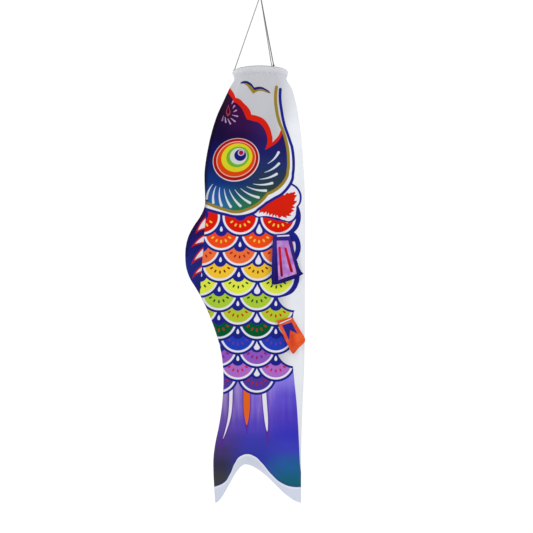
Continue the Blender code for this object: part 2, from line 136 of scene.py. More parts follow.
class Paint:
    """One procedural material: a Principled surface, with helpers that add nodes to its tree."""

    def __init__(self, name, roughness=0.6, metallic=0.0):
        self.material = bpy.data.materials.new(name)
        self.material.use_nodes = True
        self.tree = self.material.node_tree
        self.shader = self.tree.nodes["Principled BSDF"]
        self.set("Roughness", roughness)
        self.set("Metallic", metallic)

    def plug(self, value, socket):
        value = value.socket if isinstance(value, Number) else value
        if isinstance(value, bpy.types.NodeSocket):
            self.tree.links.new(value, socket)
        else:
            socket.default_value = value

    def set(self, name, value):
        self.plug(value, self.shader.inputs[name])

    def node(self, kind, inputs, **settings):
        made = self.tree.nodes.new(kind)
        for key, value in settings.items():
            setattr(made, key, value)
        for key, value in inputs.items():
            self.plug(value, made.inputs[key])
        return made

    def math(self, operation, *values, clamp=False):
        made = self.node("ShaderNodeMath", dict(enumerate(values)), operation=operation, use_clamp=clamp)
        return Number(self, made.outputs[0])

    def vector(self, operation, *values, **named):
        made = self.node("ShaderNodeVectorMath", {**dict(enumerate(values)), **named}, operation=operation)
        if operation in ("LENGTH", "DOT_PRODUCT", "DISTANCE"):
            return Number(self, made.outputs["Value"])
        return made.outputs["Vector"]

    def point(self, x, y, z=0.0):
        return self.node("ShaderNodeCombineXYZ", {0: x, 1: y, 2: z}).outputs[0]

    def length(self, x, y):
        return self.vector("LENGTH", self.point(x, y))

    def smaller(self, *values):
        least = values[0]
        for value in values[1:]:
            least = self.math("MINIMUM", least, value)
        return least

    def larger(self, *values):
        most = values[0]
        for value in values[1:]:
            most = self.math("MAXIMUM", most, value)
        return most

    def share(self, value, low=0.0, high=1.0):
        """How far a value lies between low and high, held between 0 and 1."""
        return self.math("MULTIPLY_ADD", value, 1 / (high - low), -low / (high - low), clamp=True)

    def ease(self, value, start, end):
        """0 before start, 1 after end, and a smooth rise between."""
        made = self.node("ShaderNodeMapRange", {0: value, 1: start, 2: end}, interpolation_type="SMOOTHSTEP")
        return Number(self, made.outputs[0])

    def inside(self, distance, soft=0.7):
        """1 where a distance is negative and 0 where it is positive, with a soft edge."""
        return self.math("MULTIPLY_ADD", distance, -1 / soft, 0.5, clamp=True)

    def mix(self, under, over, share):
        made = self.node("ShaderNodeMix", {0: share, 6: shade(under), 7: shade(over)}, data_type="RGBA")
        return made.outputs[2]

    def noise(self, place, size, detail=2.0, roughness=0.5):
        made = self.node("ShaderNodeTexNoise", {"Vector": place, "Scale": 1 / size, "Detail": detail,
                                                "Roughness": roughness})
        return Number(self, made.outputs["Fac"])

    def curve(self, value, points):
        """A smooth function of value through (value, result) points; a third item True makes a corner."""
        low, high = points[0][0], points[-1][0]
        results = [point[1] for point in points]
        base, span = min(results), (max(results) - min(results)) or 1.0
        made = self.node("ShaderNodeFloatCurve", {"Value": self.share(value, low, high)})
        line = made.mapping.curves[0]
        while len(line.points) < len(points):
            line.points.new(0.5, 0.5)
        for spot, point in zip(line.points, points):
            spot.location = ((point[0] - low) / (high - low), (point[1] - base) / span)
        for spot, point in zip(line.points, points):
            spot.handle_type = "VECTOR" if len(point) > 2 else "AUTO"
        made.mapping.update()
        return Number(self, made.outputs[0]) * span + base

    def ramp(self, value, stops, interpolation="EASE"):
        """A colour that changes with value, through (value, colour) stops."""
        low, high = stops[0][0], stops[-1][0]
        made = self.node("ShaderNodeValToRGB", {"Fac": self.share(value, low, high)})
        band = made.color_ramp
        band.interpolation = interpolation
        while len(band.elements) < len(stops):
            band.elements.new(1.0)
        for element, (place, colour) in zip(band.elements, stops):
            element.position = (place - low) / (high - low)
            element.color = shade(colour)
        return made.outputs["Color"]

    def bump(self, height, strength, distance, rounding=0.0):
        """Relief on the surface, whose edges may also be rounded off."""
        made = self.node("ShaderNodeBump", {"Height": height, "Strength": strength, "Distance": distance})
        if rounding:
            self.plug(self.node("ShaderNodeBevel", {"Radius": rounding}, samples=8).outputs[0],
                      made.inputs["Normal"])
        self.set("Normal", made.outputs["Normal"])


# ---------------------------------------------------------------- the print

THREAD_TURN = 9.0  # how fast the weave repeats: radians for each millimetre
STITCH_LINE = 2.4  # distance of the stitching from a seam, in millimetres
STITCH_SPACING = 3.4


def away(start, angle, reach=1.0):
    """The point at a distance from start, in a direction in degrees from across towards below."""
    turn = math.radians(angle)
    return start[0] + reach * math.cos(turn), start[1] + reach * math.sin(turn)


class Print(Paint):
    """The printed cloth: colours are laid one over another with over()."""

    def __init__(self, name):
        super().__init__(name)
        spot = self.node("ShaderNodeAttribute", {}, attribute_name="print_place")
        parts = self.node("ShaderNodeSeparateXYZ", {0: spot.outputs["Vector"]})
        self.across = Number(self, parts.outputs[0])
        self.below = Number(self, parts.outputs[1])
        self.lining = Number(self, parts.outputs[2])
        self.flat = self.point(self.across, self.below)
        seam = self.node("ShaderNodeAttribute", {}, attribute_name="seam_gap")
        self.gap = Number(self, seam.outputs["Fac"])
        self.colour = None
        # how strong the painted shade along the back seam is; none unless a print sets it
        self.painted_edge_shade = 0.0

    def over(self, colour, share):
        self.colour = self.mix(self.colour, colour, share)

    def offset(self, start):
        return self.vector("SUBTRACT", self.flat, (*start, 0))

    def reach(self, offset, x, y):
        """How far an offset reaches along the step (x, y), times the length of that step."""
        return self.vector("DOT_PRODUCT", offset, (x, y, 0))

    def beside(self, start, end, bow=0.0):
        """How far the point lies to the right of a line that may bow out to its left."""
        run = (end[0] - start[0], end[1] - start[1])
        length = math.hypot(*run)
        offset = self.offset(start)
        aside = self.reach(offset, -run[1] / length, run[0] / length)
        held = self.share(self.reach(offset, run[0] / length**2, run[1] / length**2))
        return aside + held * (1 - held) * (4 * bow)

    def outline(self, *corners):
        """Distance outside a convex outline whose corners are given clockwise."""
        return self.larger(*[0 - self.beside(one, other)
                             for one, other in zip(corners, corners[1:] + corners[:1])])

    def polar(self, centre):
        """The distance from a centre, and the angle in degrees from across towards below."""
        offset = self.offset(centre)
        parts = self.node("ShaderNodeSeparateXYZ", {0: offset})
        turn = self.math("ARCTAN2", parts.outputs[1], parts.outputs[0])
        return self.vector("LENGTH", offset), turn * math.degrees(1)

    def turned(self, centre, angle):
        """The point's place measured from a centre along axes turned by an angle in degrees."""
        offset = self.offset(centre)
        c, s = away((0, 0), angle)
        return self.reach(offset, c, s), self.reach(offset, -s, c)

    def ellipse(self, spot, centre, half):
        """Distance outside an ellipse, for a point given as a vector."""
        scale = (1 / half[0], 1 / half[1], 0)
        shift = (-centre[0] / half[0], -centre[1] / half[1], 0)
        near = self.vector("LENGTH", self.vector("MULTIPLY_ADD", spot, scale, shift))
        return (near - 1) * min(half)

    def stroke(self, start, end, start_half, end_half):
        """Distance outside a brush stroke whose half width changes along it."""
        run = (end[0] - start[0], end[1] - start[1])
        square = run[0] ** 2 + run[1] ** 2
        offset = self.offset(start)
        held = self.share(self.reach(offset, run[0] / square, run[1] / square))
        foot = self.vector("SCALE", (*run, 0), Scale=held)
        width = held * (end_half - start_half) + start_half
        return self.vector("DISTANCE", offset, foot) - width

    def brush(self, start, heading, length, bow, halves):
        """Distance outside a bowed stroke that starts thin; heading is in degrees."""
        c, s = away((0, 0), heading)
        offset = self.offset(start)
        share = self.reach(offset, c / length, s / length)
        held = self.share(share)
        aside = self.reach(offset, -s, c) - held * (1 - held) * (4 * bow)
        return self.length(aside, (share - held) * length) - (held * (halves[1] - halves[0]) + halves[0])

    def weave(self):
        """Fine relief of crossing threads."""
        return self.math("SINE", self.across * THREAD_TURN) * self.math("SINE", self.below * THREAD_TURN)

    def finish(self):
        """Weave, stitched seams with painted shade along them, and a paler lining, then the surface's own
        settings.
        """
        cloudy = self.noise(self.flat, 38.0, 3.0)
        uneven = self.node("ShaderNodeHueSaturation", {"Color": self.colour, "Value": cloudy * 0.16 + 0.92})
        self.colour = uneven.outputs["Color"]
        self.over((218, 220, 230), self.lining * 0.55)
        dash = abs(self.math("WRAP", self.below, STITCH_SPACING / 2, -STITCH_SPACING / 2)) - 1.15
        stitch = self.inside(self.larger(abs(self.gap - STITCH_LINE) - 0.28, dash), 0.3)
        self.over((150, 150, 160), stitch * 0.08)
        # painted shade in the crease along each seam
        self.over((40, 40, 60), self.inside(self.gap - 0.8, 1.2) * 0.1)
        # painted shade along the back seam, where the tube curves away from the light
        self.over((14, 6, 22), (1 - self.ease(self.gap, 0, 8)) * self.inside(self.across) * self.painted_edge_shade)
        self.set("Base Color", self.colour)
        crumple = self.noise(self.flat, 9.0, 4.0, 0.6)
        folded = self.inside(self.gap - (STITCH_LINE + 0.8), 0.8)
        height = self.weave() * 0.06 + crumple * 0.5 + stitch * 0.35 - folded * 0.2
        self.bump(height, 0.35, 0.4 * MM)
        self.set("Roughness", self.noise(self.flat, 2.5) * 0.16 + 0.5)
        self.set("Specular IOR Level", 0.004)
        return self.material


def plain_cloth_painted_shade(ink):
    """Unprinted white cloth with painted shade: greyer over the face than along the belly, and greyer near
    the hoop.
    """
    ink.colour = ink.mix((203, 203, 208), (246, 249, 255), ink.ease(ink.across, 22, 56))
    # painted shade near the hoop
    ink.over((208, 211, 217), ink.inside(ink.below - 44, 90) * 0.8)


# Rows of scales: the first row's centre and the step to the next one, which shrinks row by row. At the
# belly the odd rows end in a blank scale; the first two of those are left out, which bares a wider ring.
ROW_TOP = 234.6
ROW_STEP = 25.79
ROW_SHRINK = 0.2122
SCALE_PITCH = 62.0
EVEN_COLUMN = -34.8
SCALE_RADIUS = 32.7
RIM_RADIUS = 28.9
FILL_RADIUS = 25.6
LAST_COLUMN = 27.2
LAST_ROW = 11
# The wider ring: how much it adds, where across a scale that starts and is complete, and down to which row
WIDE_RING = 4.3
WIDE_FROM, WIDE_FULL = 8, 34
WIDE_ROWS = 4
# The navy cap at a scale's top: how far its centre is above the scale's, its radius, and where it is cut off
CAP_RISE = 3.8
CAP_RADIUS = 10.3
CAP_CUT = 10
# The white drop in the cap: its rise, half width and half height, its size on even rows and what odd rows add
DROP_RISE = 5.6
DROP_HALF = (6.9, 9.0)
DROP_SIZE = 0.46
DROP_MORE = 0.44
ROW_COLOURS = [(228, 30, 14), (250, 78, 28), (250, 118, 62), (255, 206, 54),
               (234, 244, 76), (178, 212, 58), (190, 208, 50), (6, 92, 52),
               (38, 66, 194), (150, 92, 200), (182, 112, 208), (84, 60, 160)]
SEED_COLOURS = [(250, 214, 80), (252, 206, 76), (178, 26, 18), (138, 22, 18),
                (10, 76, 46), (14, 84, 48), (206, 40, 26), (176, 52, 30),
                (112, 58, 156), (150, 32, 104), (206, 28, 60), (176, 36, 58)]


def scale_cell(ink):
    """The scale that covers the point: its row, if that is odd, and the point's place from its centre."""
    depth = ink.below - ROW_TOP
    drift = ink.ease(ink.below, 255, 385) * -4 + 2
    root = ink.math("SQRT", ROW_STEP ** 2 - (depth - SCALE_RADIUS) * (4 * ROW_SHRINK))
    first = ink.larger(ink.math("CEIL", (ROW_STEP - root) / (2 * ROW_SHRINK)), 0)
    steady = ink.across - drift
    past = steady > LAST_COLUMN

    def place(row):
        odd = ink.math("MODULO", row, 2)
        shifted = steady - EVEN_COLUMN - odd * (SCALE_PITCH / 2)
        column = ink.smaller(ink.math("ROUND", shifted / SCALE_PITCH), 1)
        return odd, shifted - column * SCALE_PITCH, depth - row * (ROW_STEP - row * ROW_SHRINK)

    _, x, y = place(first)
    wider = past * (first < WIDE_ROWS + 0.5) * ink.ease(x, WIDE_FROM, WIDE_FULL) * WIDE_RING
    row = first + (ink.length(x, y) > wider + SCALE_RADIUS)
    row = row + ink.math("MODULO", row, 2) * past * (row < 4)
    return row, past, *place(row)


# Seeds of a scale: how many lie on each side of the middle one, the degrees between them, then their
# distance from the scale's centre, how much further out the side ones lie, half a length and half a width
SIDE_SEEDS = 2
SEED_TURN = 29.5
SEED_MIDDLE = 15.0
SEED_RISE = 0.3
SEED_HALF = (1.3, 1.35)


def seeds(ink, x, y):
    """Distance outside the seeds, which point at the scale's centre; their angles are measured from below."""
    turn = ink.math("ARCTAN2", x, y) * math.degrees(1)
    number = ink.math("ROUND", turn / SEED_TURN)
    number = ink.larger(ink.smaller(number, SIDE_SEEDS), -SIDE_SEEDS)
    left = (turn - number * SEED_TURN) * math.radians(1)
    reach = ink.length(x, y)
    along = abs(reach * ink.math("COSINE", left) - SEED_MIDDLE - number * number * SEED_RISE) - SEED_HALF[0]
    aside = reach * ink.math("SINE", left)
    return ink.length(ink.larger(along, 0), aside) - SEED_HALF[1]


def by_row(ink, row, colours):
    stops = [(number, colour) for number, colour in enumerate(colours)]
    stops.append((len(colours), colours[-1]))
    return ink.ramp(row + 0.5, stops, "CONSTANT")


def right_limit(ink):
    """How far the print reaches towards the belly."""
    return ink.curve(ink.below, [
        (350, 72, True), (362, 66), (384.8, 58, True), (396, 53.4), (430, 51.6), (461, 52.1), (499, 55.2),
        (539, 59.2), (569, 61.3), (609, 63.4), (641, 65), (656, 67.5), (676, 71)])


def scales(ink):
    """Overlapping scales with white rims, dashes like seeds, and a drop under each joint."""
    row, past, odd, x, y = scale_cell(ink)
    reach = ink.length(x, y)
    blank = odd * past
    colour = by_row(ink, row, ROW_COLOURS)
    colour = ink.mix(colour, by_row(ink, row, SEED_COLOURS), ink.inside(seeds(ink, x, y)))
    colour = ink.mix(colour, WHITE, ink.inside(FILL_RADIUS - reach))
    cap = ink.smaller(ink.length(x, y + CAP_RISE) - CAP_RADIUS, y + CAP_CUT)
    colour = ink.mix(colour, NAVY, ink.inside(cap))
    size = odd * (ink.across > EVEN_COLUMN) * DROP_MORE + DROP_SIZE
    neck = ink.ease(y, -14, 2) * 0.75 + 0.25
    drop = ink.length(x / neck / DROP_HALF[0] / size, (y + DROP_RISE) / DROP_HALF[1] / size) - 1
    colour = ink.mix(colour, WHITE, ink.inside(drop * 5))
    colour = ink.mix(colour, WHITE, blank)
    ring = ink.inside(RIM_RADIUS - reach)
    colour = ink.mix(colour, NAVY, ring)
    outside = SCALE_RADIUS + 0.35 + ink.ease(x, WIDE_FROM, WIDE_FULL) * WIDE_RING - reach
    bared = past * (row < WIDE_ROWS + 0.5) * ink.inside(outside)
    tail = (row + blank) > LAST_ROW + 0.5
    edge = ink.inside(ink.across - right_limit(ink)) * ink.inside(200 - ink.below)
    ink.over(colour, edge * (1 - tail) * (1 - bared) * ink.larger(1 - blank, ring))


# the tip of each spike, then the ends of its upper and lower edges
DORSAL_SPIKES = [((-106, 262.3), (-86, 231), (-86, 254)), ((-112.5, 284.5), (-88, 262), (-88, 277.5)),
                 ((-113, 313.2), (-91, 282), (-93, 301)), ((-111.2, 335.7), (-95, 314), (-95.5, 325))]


def dorsal_strip(ink):
    """The dark strip along the back, with red and white spikes."""
    left = ink.inside(ink.across + 88.7 + (ink.below - 226.8) * 0.075)
    reach = ink.inside(abs(ink.below - 290) - 84)
    base = ink.ramp(ink.below, [(215, (74, 20, 70)), (250, (44, 22, 84)), (275, (34, 30, 112)),
                                (320, (36, 46, 132)), (370, (30, 34, 110))])
    ink.over(base, left * reach)
    for tip, top, foot in DORSAL_SPIKES:
        spike = ink.larger(0 - ink.beside(tip, top, 3.0), ink.beside(tip, foot, 1.6))
        ink.over((196, 26, 26), ink.inside(spike) * left)
        ink.over((236, 226, 240), ink.inside(spike + 2.3) * left)


FRILL_CENTRE = (25.5, 212.2)


def frill(ink):
    """The red feathered frill behind the gill cover."""
    reach, turn = ink.polar(FRILL_CENTRE)
    edge = ink.curve(turn, [
        (-80, 38), (-50, 41.7), (-26, 44.1), (-11, 42.7), (10, 37, True), (22, 38.6), (42, 41.4), (65, 33.9),
        (102, 26.7), (146, 41.2), (160, 46)])
    ink.over(NAVY, ink.inside(reach - edge))
    ink.over(WHITE, ink.inside(reach - edge + 3.4))
    red = ink.curve(turn, [
        (-60, 17), (-50, 19), (-41.5, 26.8), (-28.6, 38.5, True), (-18.6, 36.6), (-4.7, 34.4), (10.6, 32.4),
        (25, 32.6), (39.3, 33), (58.8, 30), (93, 24), (129.7, 25), (147, 33)])
    ragged = ink.noise(ink.flat, 11.0, 1.0) * 22
    teeth = abs(ink.math("WRAP", turn + reach * 0.6 + ragged, 7, -7)) * 0.75
    ink.over(RED, ink.inside(reach - red + teeth))


GILL_CENTRE = (-39.7, 125.7)
GILL_TURN = 117.5


def gill_distances(ink):
    """Signed distances outside the gold line and the navy line of the gill cover."""
    reach, turn = ink.polar(GILL_CENTRE)
    low = ink.below > GILL_TURN
    gold_low = reach - ink.curve(turn, [
        (-8.4, 83.1), (6.5, 85.8), (21, 90.7), (31.5, 93.7), (40, 92.7), (47.6, 90.6), (54.4, 87.8, True),
        (62, 91.9), (70, 95.5), (80, 98.6), (90, 100.9), (101, 98.9), (110, 98.2), (120.5, 98.9)])
    navy_low = reach - ink.curve(turn, [
        (-8.4, 90), (7.9, 94.5), (22.4, 100.5), (32, 104.4), (42, 104), (52.5, 100.4), (60, 99.7, True),
        (68.7, 103), (76.6, 107.4), (89, 108.7), (102.4, 106.4), (117.5, 108.5)])
    gold_high = ink.across - ink.curve(ink.below, [
        (21.9, 26.4), (40.8, 24.7), (60.4, 26.4), (78.3, 30.4), (94.7, 37), (113.6, 42.5), (117.5, 43.2)])
    navy_high = ink.across - ink.curve(ink.below, [
        (25.8, 32.6), (40.8, 32.1), (60.4, 34.4), (82.4, 38.6), (101.2, 45), (117.5, 50.5)])
    gold = gold_high + (gold_low - gold_high) * low
    navy = navy_high + (navy_low - navy_high) * low
    return gold, navy


def line(ink, distance, start, half):
    """Distance outside a line that begins with a round end at a height."""
    return ink.length(distance, ink.larger(start - ink.below, 0)) - half


LIP_CENTRE = (-33.2, 109.3)


def lip(ink):
    """The scalloped red lip: masks of the face above it and of the red band itself."""
    reach, turn = ink.polar(LIP_CENTRE)
    outer = ink.curve(turn, [
        (-104, 91), (-101.4, 87), (-98.9, 80.6), (-97.1, 75), (-96.2, 69.2, True), (-93.7, 68.4), (-90, 66.1),
        (-84.1, 60.2), (-76.8, 55), (-71.2, 50.7), (-65.8, 45.1, True), (-54.2, 48.3), (-41.3, 51.5),
        (-27.3, 52.3), (-12, 52.4), (-0.5, 53), (6.7, 52.1), (21, 44)])
    inner = ink.curve(turn, [
        (-104, 78.6), (-102.3, 73.3), (-100.5, 67.9), (-99.4, 62.6, True), (-95.3, 60.2), (-91.8, 56.7),
        (-87.3, 51.8), (-82.1, 45.3), (-77.1, 39.5), (-71.5, 35.5, True), (-62.5, 36.4), (-54.4, 37.9),
        (-42, 41.6), (-23.6, 43.6), (-5.7, 44.6), (9.7, 44.5), (21, 43.6)])
    upper = ink.curve(turn, [
        (-60, 160, True), (-30, 120, True), (-16, 72.1, True), (-13, 68.2), (-7, 63.8), (1, 55.8),
        (5, 52, True), (21, 20)])
    lower = ink.curve(turn, [
        (-30, 120, True), (-12, 72.5, True), (-8, 69.6), (2, 62), (12, 51.7), (21, 43.6)])
    left = ink.inside(turn - 21, 2)
    face = ink.inside(ink.larger(outer - reach, reach - upper)) * left
    band = ink.smaller(ink.larger(inner - reach, reach - outer),
                       ink.larger(inner - reach, reach - lower, upper - reach))
    return face, ink.inside(band) * left


def blended(ink, columns, changes):
    """Colours that change down the cloth in columns; each change is where one column turns into the next."""
    colour = ink.ramp(ink.below, columns[0])
    for stops, (start, end) in zip(columns[1:], changes):
        colour = ink.mix(colour, ink.ramp(ink.below, stops), ink.ease(ink.across, start, end))
    return colour


HEAD_COLOURS = [[(50, (36, 14, 38)), (100, (28, 16, 60)), (128, (22, 22, 92)), (150, (24, 36, 104)),
                 (176, (22, 54, 126)), (200, (44, 94, 168)), (220, (48, 108, 168))],
                [(64, (64, 20, 70)), (84, (54, 22, 74)), (102, (42, 18, 66)), (124, (42, 26, 92)),
                 (178, (28, 54, 114)), (196, (38, 80, 106)), (214, (42, 118, 86))],
                [(92, (58, 32, 98)), (110, (44, 30, 100)), (128, (34, 36, 108)), (150, (38, 52, 108)),
                 (171, (44, 60, 84)), (186, (48, 66, 68)), (208, (54, 108, 66))]]


def head_colour(ink):
    colour = blended(ink, HEAD_COLOURS, [(-70, -34), (-34, 10)])
    # painted shade: the print turns near-black towards the back seam, where the tube curves away from the
    # light
    return ink.mix(colour, (16, 6, 26), (1 - ink.ease(ink.gap, 0, 9)) * 0.6)


def gill_cover(ink):
    gold, navy = gill_distances(ink)
    face, band = lip(ink)
    low = ink.inside(150 - ink.below, 60)
    ink.over(WHITE, ink.inside(navy) * low)
    ink.over(NAVY, ink.inside(line(ink, navy, 26.5, 2.4)))
    ink.over(GOLD, ink.inside(line(ink, gold, 23, 2.6)))
    ink.over(head_colour(ink), ink.inside(gold + 2.2) * (1 - face))
    ink.over(RED, band * ink.inside(gold + 2.2))


EYE_CENTRE = (-39.6, 141.8)
CHEEK_STROKES = 12


def cheek_strokes(ink):
    """Tapered strokes that fan round the eye, longest in the middle of the fan."""
    for number in range(CHEEK_STROKES):
        place = 6.6 + 17.6 * number - 0.55 * number ** 2
        start = away(EYE_CENTRE, place, 46.5 + 1.3 * abs(number - 4.3))
        length = 24 + 8.5 * math.sin(math.pi * (number + 0.5) / CHEEK_STROKES)
        stroke = ink.brush(start, 14.5 * number - 46, length, 2.0, (0.3, 2.1))
        ink.over((224, 234, 244), ink.inside(stroke))


EYE_TILT = -24
# (centre from the eye's own centre, half size, colour), from the outermost ring inwards
EYE_RINGS = [
    ((0, 0), (38.7, 34.7), (240, 216, 220)), ((-0.3, -0.5), (37.4, 33.4), (170, 22, 18)),
    ((0, -1), (32.8, 28.8), (244, 190, 178)), ((0, -1), (31.5, 27.4), (228, 72, 22)),
    ((1.3, -3.6), (25.9, 22.8), (222, 216, 42)), ((2.8, -4.9), (19.1, 16.5), (118, 182, 50)),
    ((3.8, -5.9), (14.0, 13.1), (216, 220, 216)), ((6.7, -7.6), (9.8, 9.3), (28, 32, 124)),
    ((8.2, -11.6), (5.4, 4.8), (214, 206, 224)), ((8.2, -11.6), (3.8, 3.7), (170, 20, 70))]


def eye(ink):
    along, aside = ink.turned(EYE_CENTRE, EYE_TILT)
    spot = ink.point(along, aside)
    c, s = away((0, 0), EYE_TILT)
    for (x, y), half, colour in EYE_RINGS:
        centre = (x * c + y * s, -x * s + y * c)
        ink.over(colour, ink.inside(ink.ellipse(spot, centre, half)))


NOSTRIL_CENTRE = (-52.4, 61.0)
# angle round the nostril, distance of the dash's outer end, its heading inwards and its length
NOSTRIL_DASHES = [(-62, 16.6, 117, 4.6), (-36, 12.4, 122, 4.6), (0, 13.0, 151, 5.0), (33, 17.8, 194, 8.4),
                  (59, 21.0, 218, 8.4), (81, 22.0, 242, 9.2), (102, 19.6, 262, 8.2), (121, 19.2, 286, 8.0)]


def nostril(ink):
    """A red drop with a fan of short dashes."""
    x, y = ink.turned(NOSTRIL_CENTRE, 3)
    neck = ink.ease(y, -11, 5) * 0.85 + 0.15
    drop = ink.length(x / neck / 3.9, y / 9.2) - 1
    ink.over((158, 66, 92), ink.inside(drop * 4))
    ink.over((98, 4, 22), ink.inside((drop + 0.34) * 4))
    for turn, reach, heading, length in NOSTRIL_DASHES:
        end = away(NOSTRIL_CENTRE, turn, reach)
        dash = ink.stroke(end, away(end, heading, length), 1.25, 0.4)
        ink.over((198, 150, 200), ink.inside(dash) * (0.6 if turn > 110 else 1.0))


def brow(ink):
    """Two arcs that meet in a point, navy with a gold shadow."""
    crest = [(-33, 17.5), (-25.4, 14.7), (-17.7, 17.4), (-9.8, 25.8, True), (0.2, 24.2), (8.6, 27.2),
             (17, 33.6)]
    height = ink.below - ink.curve(ink.across, crest)
    past_end = ink.larger(abs(ink.across + 8.2) - 23, 0)
    shadow = ink.curve(ink.across, [(-31, 1.0), (-21.3, 6.2), (-16.9, 9.4), (-12.6, 11.4, True),
                                    (-9, 6.4, True), (-3, 5.2), (4.2, 4.8), (11.5, 3.6), (14, 1.8)])
    ink.over(GOLD, ink.inside(ink.larger(0 - height, height - shadow, past_end - 1)))
    width = ink.curve(ink.across, [(-33, 1.2), (-24, 1.9), (-12, 2.3), (0, 1.8), (17, 1.2)])
    ink.over((30, 32, 112), ink.inside(ink.length(height, past_end) - width))


def head_print(name):
    ink = Print(name)
    plain_cloth_painted_shade(ink)
    scales(ink)
    dorsal_strip(ink)
    frill(ink)
    gill_cover(ink)
    cheek_strokes(ink)
    eye(ink)
    nostril(ink)
    brow(ink)
    # painted shade along the back seam of the head, from about 24 mm under the hoop down
    ink.painted_edge_shade = ink.inside(24 - ink.below, 8) * 0.5
    return ink.finish()


def body_print(name):
    ink = Print(name)
    plain_cloth_painted_shade(ink)
    scales(ink)
    dorsal_strip(ink)
    return ink.finish()


TAIL_COLOURS = [[(495, (152, 132, 198)), (540, (130, 100, 184)), (575, (102, 76, 174)), (600, (84, 62, 146)),
                 (618, (72, 60, 116)), (640, (58, 56, 82)), (668, (68, 68, 70))],
                [(505, (154, 128, 228)), (540, (126, 98, 216)), (575, (90, 72, 198)), (600, (66, 64, 180)),
                 (630, (56, 62, 176)), (665, (44, 96, 156))],
                [(495, (142, 130, 240)), (530, (96, 78, 214)), (560, (82, 64, 200)), (590, (62, 58, 196)),
                 (612, (66, 70, 194)), (640, (40, 100, 160)), (670, (30, 104, 122))]]


def tail_colour(ink):
    """Violet to blue and green, with pale streaks below the scales."""
    colour = blended(ink, TAIL_COLOURS, [(-64, -14), (-6, 48)])
    stretched = ink.vector("MULTIPLY", ink.flat, (0.15, 0.012, 0))
    streaks = ink.noise(stretched, 1.0, 2.0) - 0.46
    fade = (1 - ink.ease(ink.below, 515, 590)) * (1 - ink.ease(ink.across, 8, 34) * 0.75)
    return ink.mix(colour, (204, 186, 232), ink.math("MULTIPLY", streaks, fade * 1.3, clamp=True))


# (distance below, middle, half width) down each spike, its colour, and the end of the glow past its tip
TAIL_SPIKES = [
    ([(500, -47.5, 2.7), (522, -47.9, 2.6), (547, -48.9, 2.5), (562, -50.8, 2.1), (580, -55.2, 1.3),
      (597, -61, 0.2)], WHITE, (-65.5, 617)),
    ([(500, -22.4, 5.2), (522, -22.3, 5.3), (547, -22.3, 4.9), (560, -22.3, 3.6), (575, -22.3, 0.3)],
     (238, 106, 34), (-22, 588)),
    ([(500, 5, 3.5), (525, 6.3, 3.4), (547, 7.9, 3.3), (560, 9.1, 3.0), (573, 10.1, 2.2),
      (585, 11.1, 0.2)], WHITE, (12.6, 606))]


def tail_spikes(ink):
    """Two white spikes and an orange one, each in a purple glow."""
    for points, colour, glow_end in TAIL_SPIKES:
        aside = abs(ink.across - ink.curve(ink.below, [(below, middle) for below, middle, _ in points]))
        tip = points[-1]
        spike = ink.larger(aside - ink.curve(ink.below, [(below, half) for below, _, half in points]),
                           ink.below - tip[0])
        glow = ink.stroke((tip[1], tip[0]), glow_end, 2.2, 0.6)
        ink.over(PURPLE, ink.inside(glow, 3.5) * 0.85)
        ink.over(PURPLE, ink.inside(spike - 1.9, 2.6) * 0.85)
        ink.over(colour, ink.inside(spike))


TAIL_PRINT_EDGE = [(-76, 675.6), (-61, 669.8), (-50, 655.7), (-40.7, 635.5), (-31.6, 625), (-21.1, 622.1),
                   (-11, 625), (1.4, 635.5), (18.7, 655.7), (35.8, 669.8), (51.3, 675.3), (67, 675.8)]


def tail_print(name):
    ink = Print(name)
    plain_cloth_painted_shade(ink)
    ink.colour = tail_colour(ink)
    tail_spikes(ink)
    printed = ink.colour
    edge = ink.below - ink.curve(ink.across, TAIL_PRINT_EDGE)
    printed = ink.mix(printed, (46, 44, 150), ink.inside(-3.2 - edge * 1.0, 5) * 0.4)
    plain_cloth_painted_shade(ink)
    ink.over((226, 232, 250), ink.inside(600 - ink.below, 120))
    ink.over((250, 251, 255), ink.inside(abs(edge - 1.6) - 1.4, 2.4) * 0.8)
    within = ink.inside(edge) * ink.inside(ink.across - right_limit(ink))
    ink.over(printed, within * ink.inside(488 - ink.below))
    scales(ink)
    return ink.finish()


def pectoral_print(name):
    ink = Print(name)
    ink.colour = ink.mix((54, 40, 140), (30, 24, 106), ink.ease(ink.below, 270, 340))
    panel = ink.inside(ink.outline((26.4, 273.8), (45.2, 273.4), (57.2, 327.4), (28, 338)))
    tone = ink.mix((176, 116, 208), (222, 160, 222), ink.ease(ink.noise(ink.flat, 12.0), 0.3, 0.7))
    ink.over(tone, panel)
    ink.over((140, 108, 204), ink.inside(abs(ink.across - 38) - 2.6, 5) * panel * 0.5)
    for start, end in (((30.8, 285.6), (33.8, 330.4)), ((40.6, 286.8), (49.4, 323.2))):
        stripe = ink.mix((204, 28, 44), (138, 14, 34), ink.ease(ink.below, 296, 330))
        ink.over(stripe, ink.inside(ink.stroke(start, end, 2.1, 2.2)))
    # white along the sewn fold: partly the cloth's own pale fold edge and partly a painted highlight on it
    fold_line_and_highlight = ink.stroke((27.6, 266.4), (46.2, 265.2), 0.9, 1.1)
    ink.over(WHITE, ink.inside(fold_line_and_highlight))
    return ink.finish()


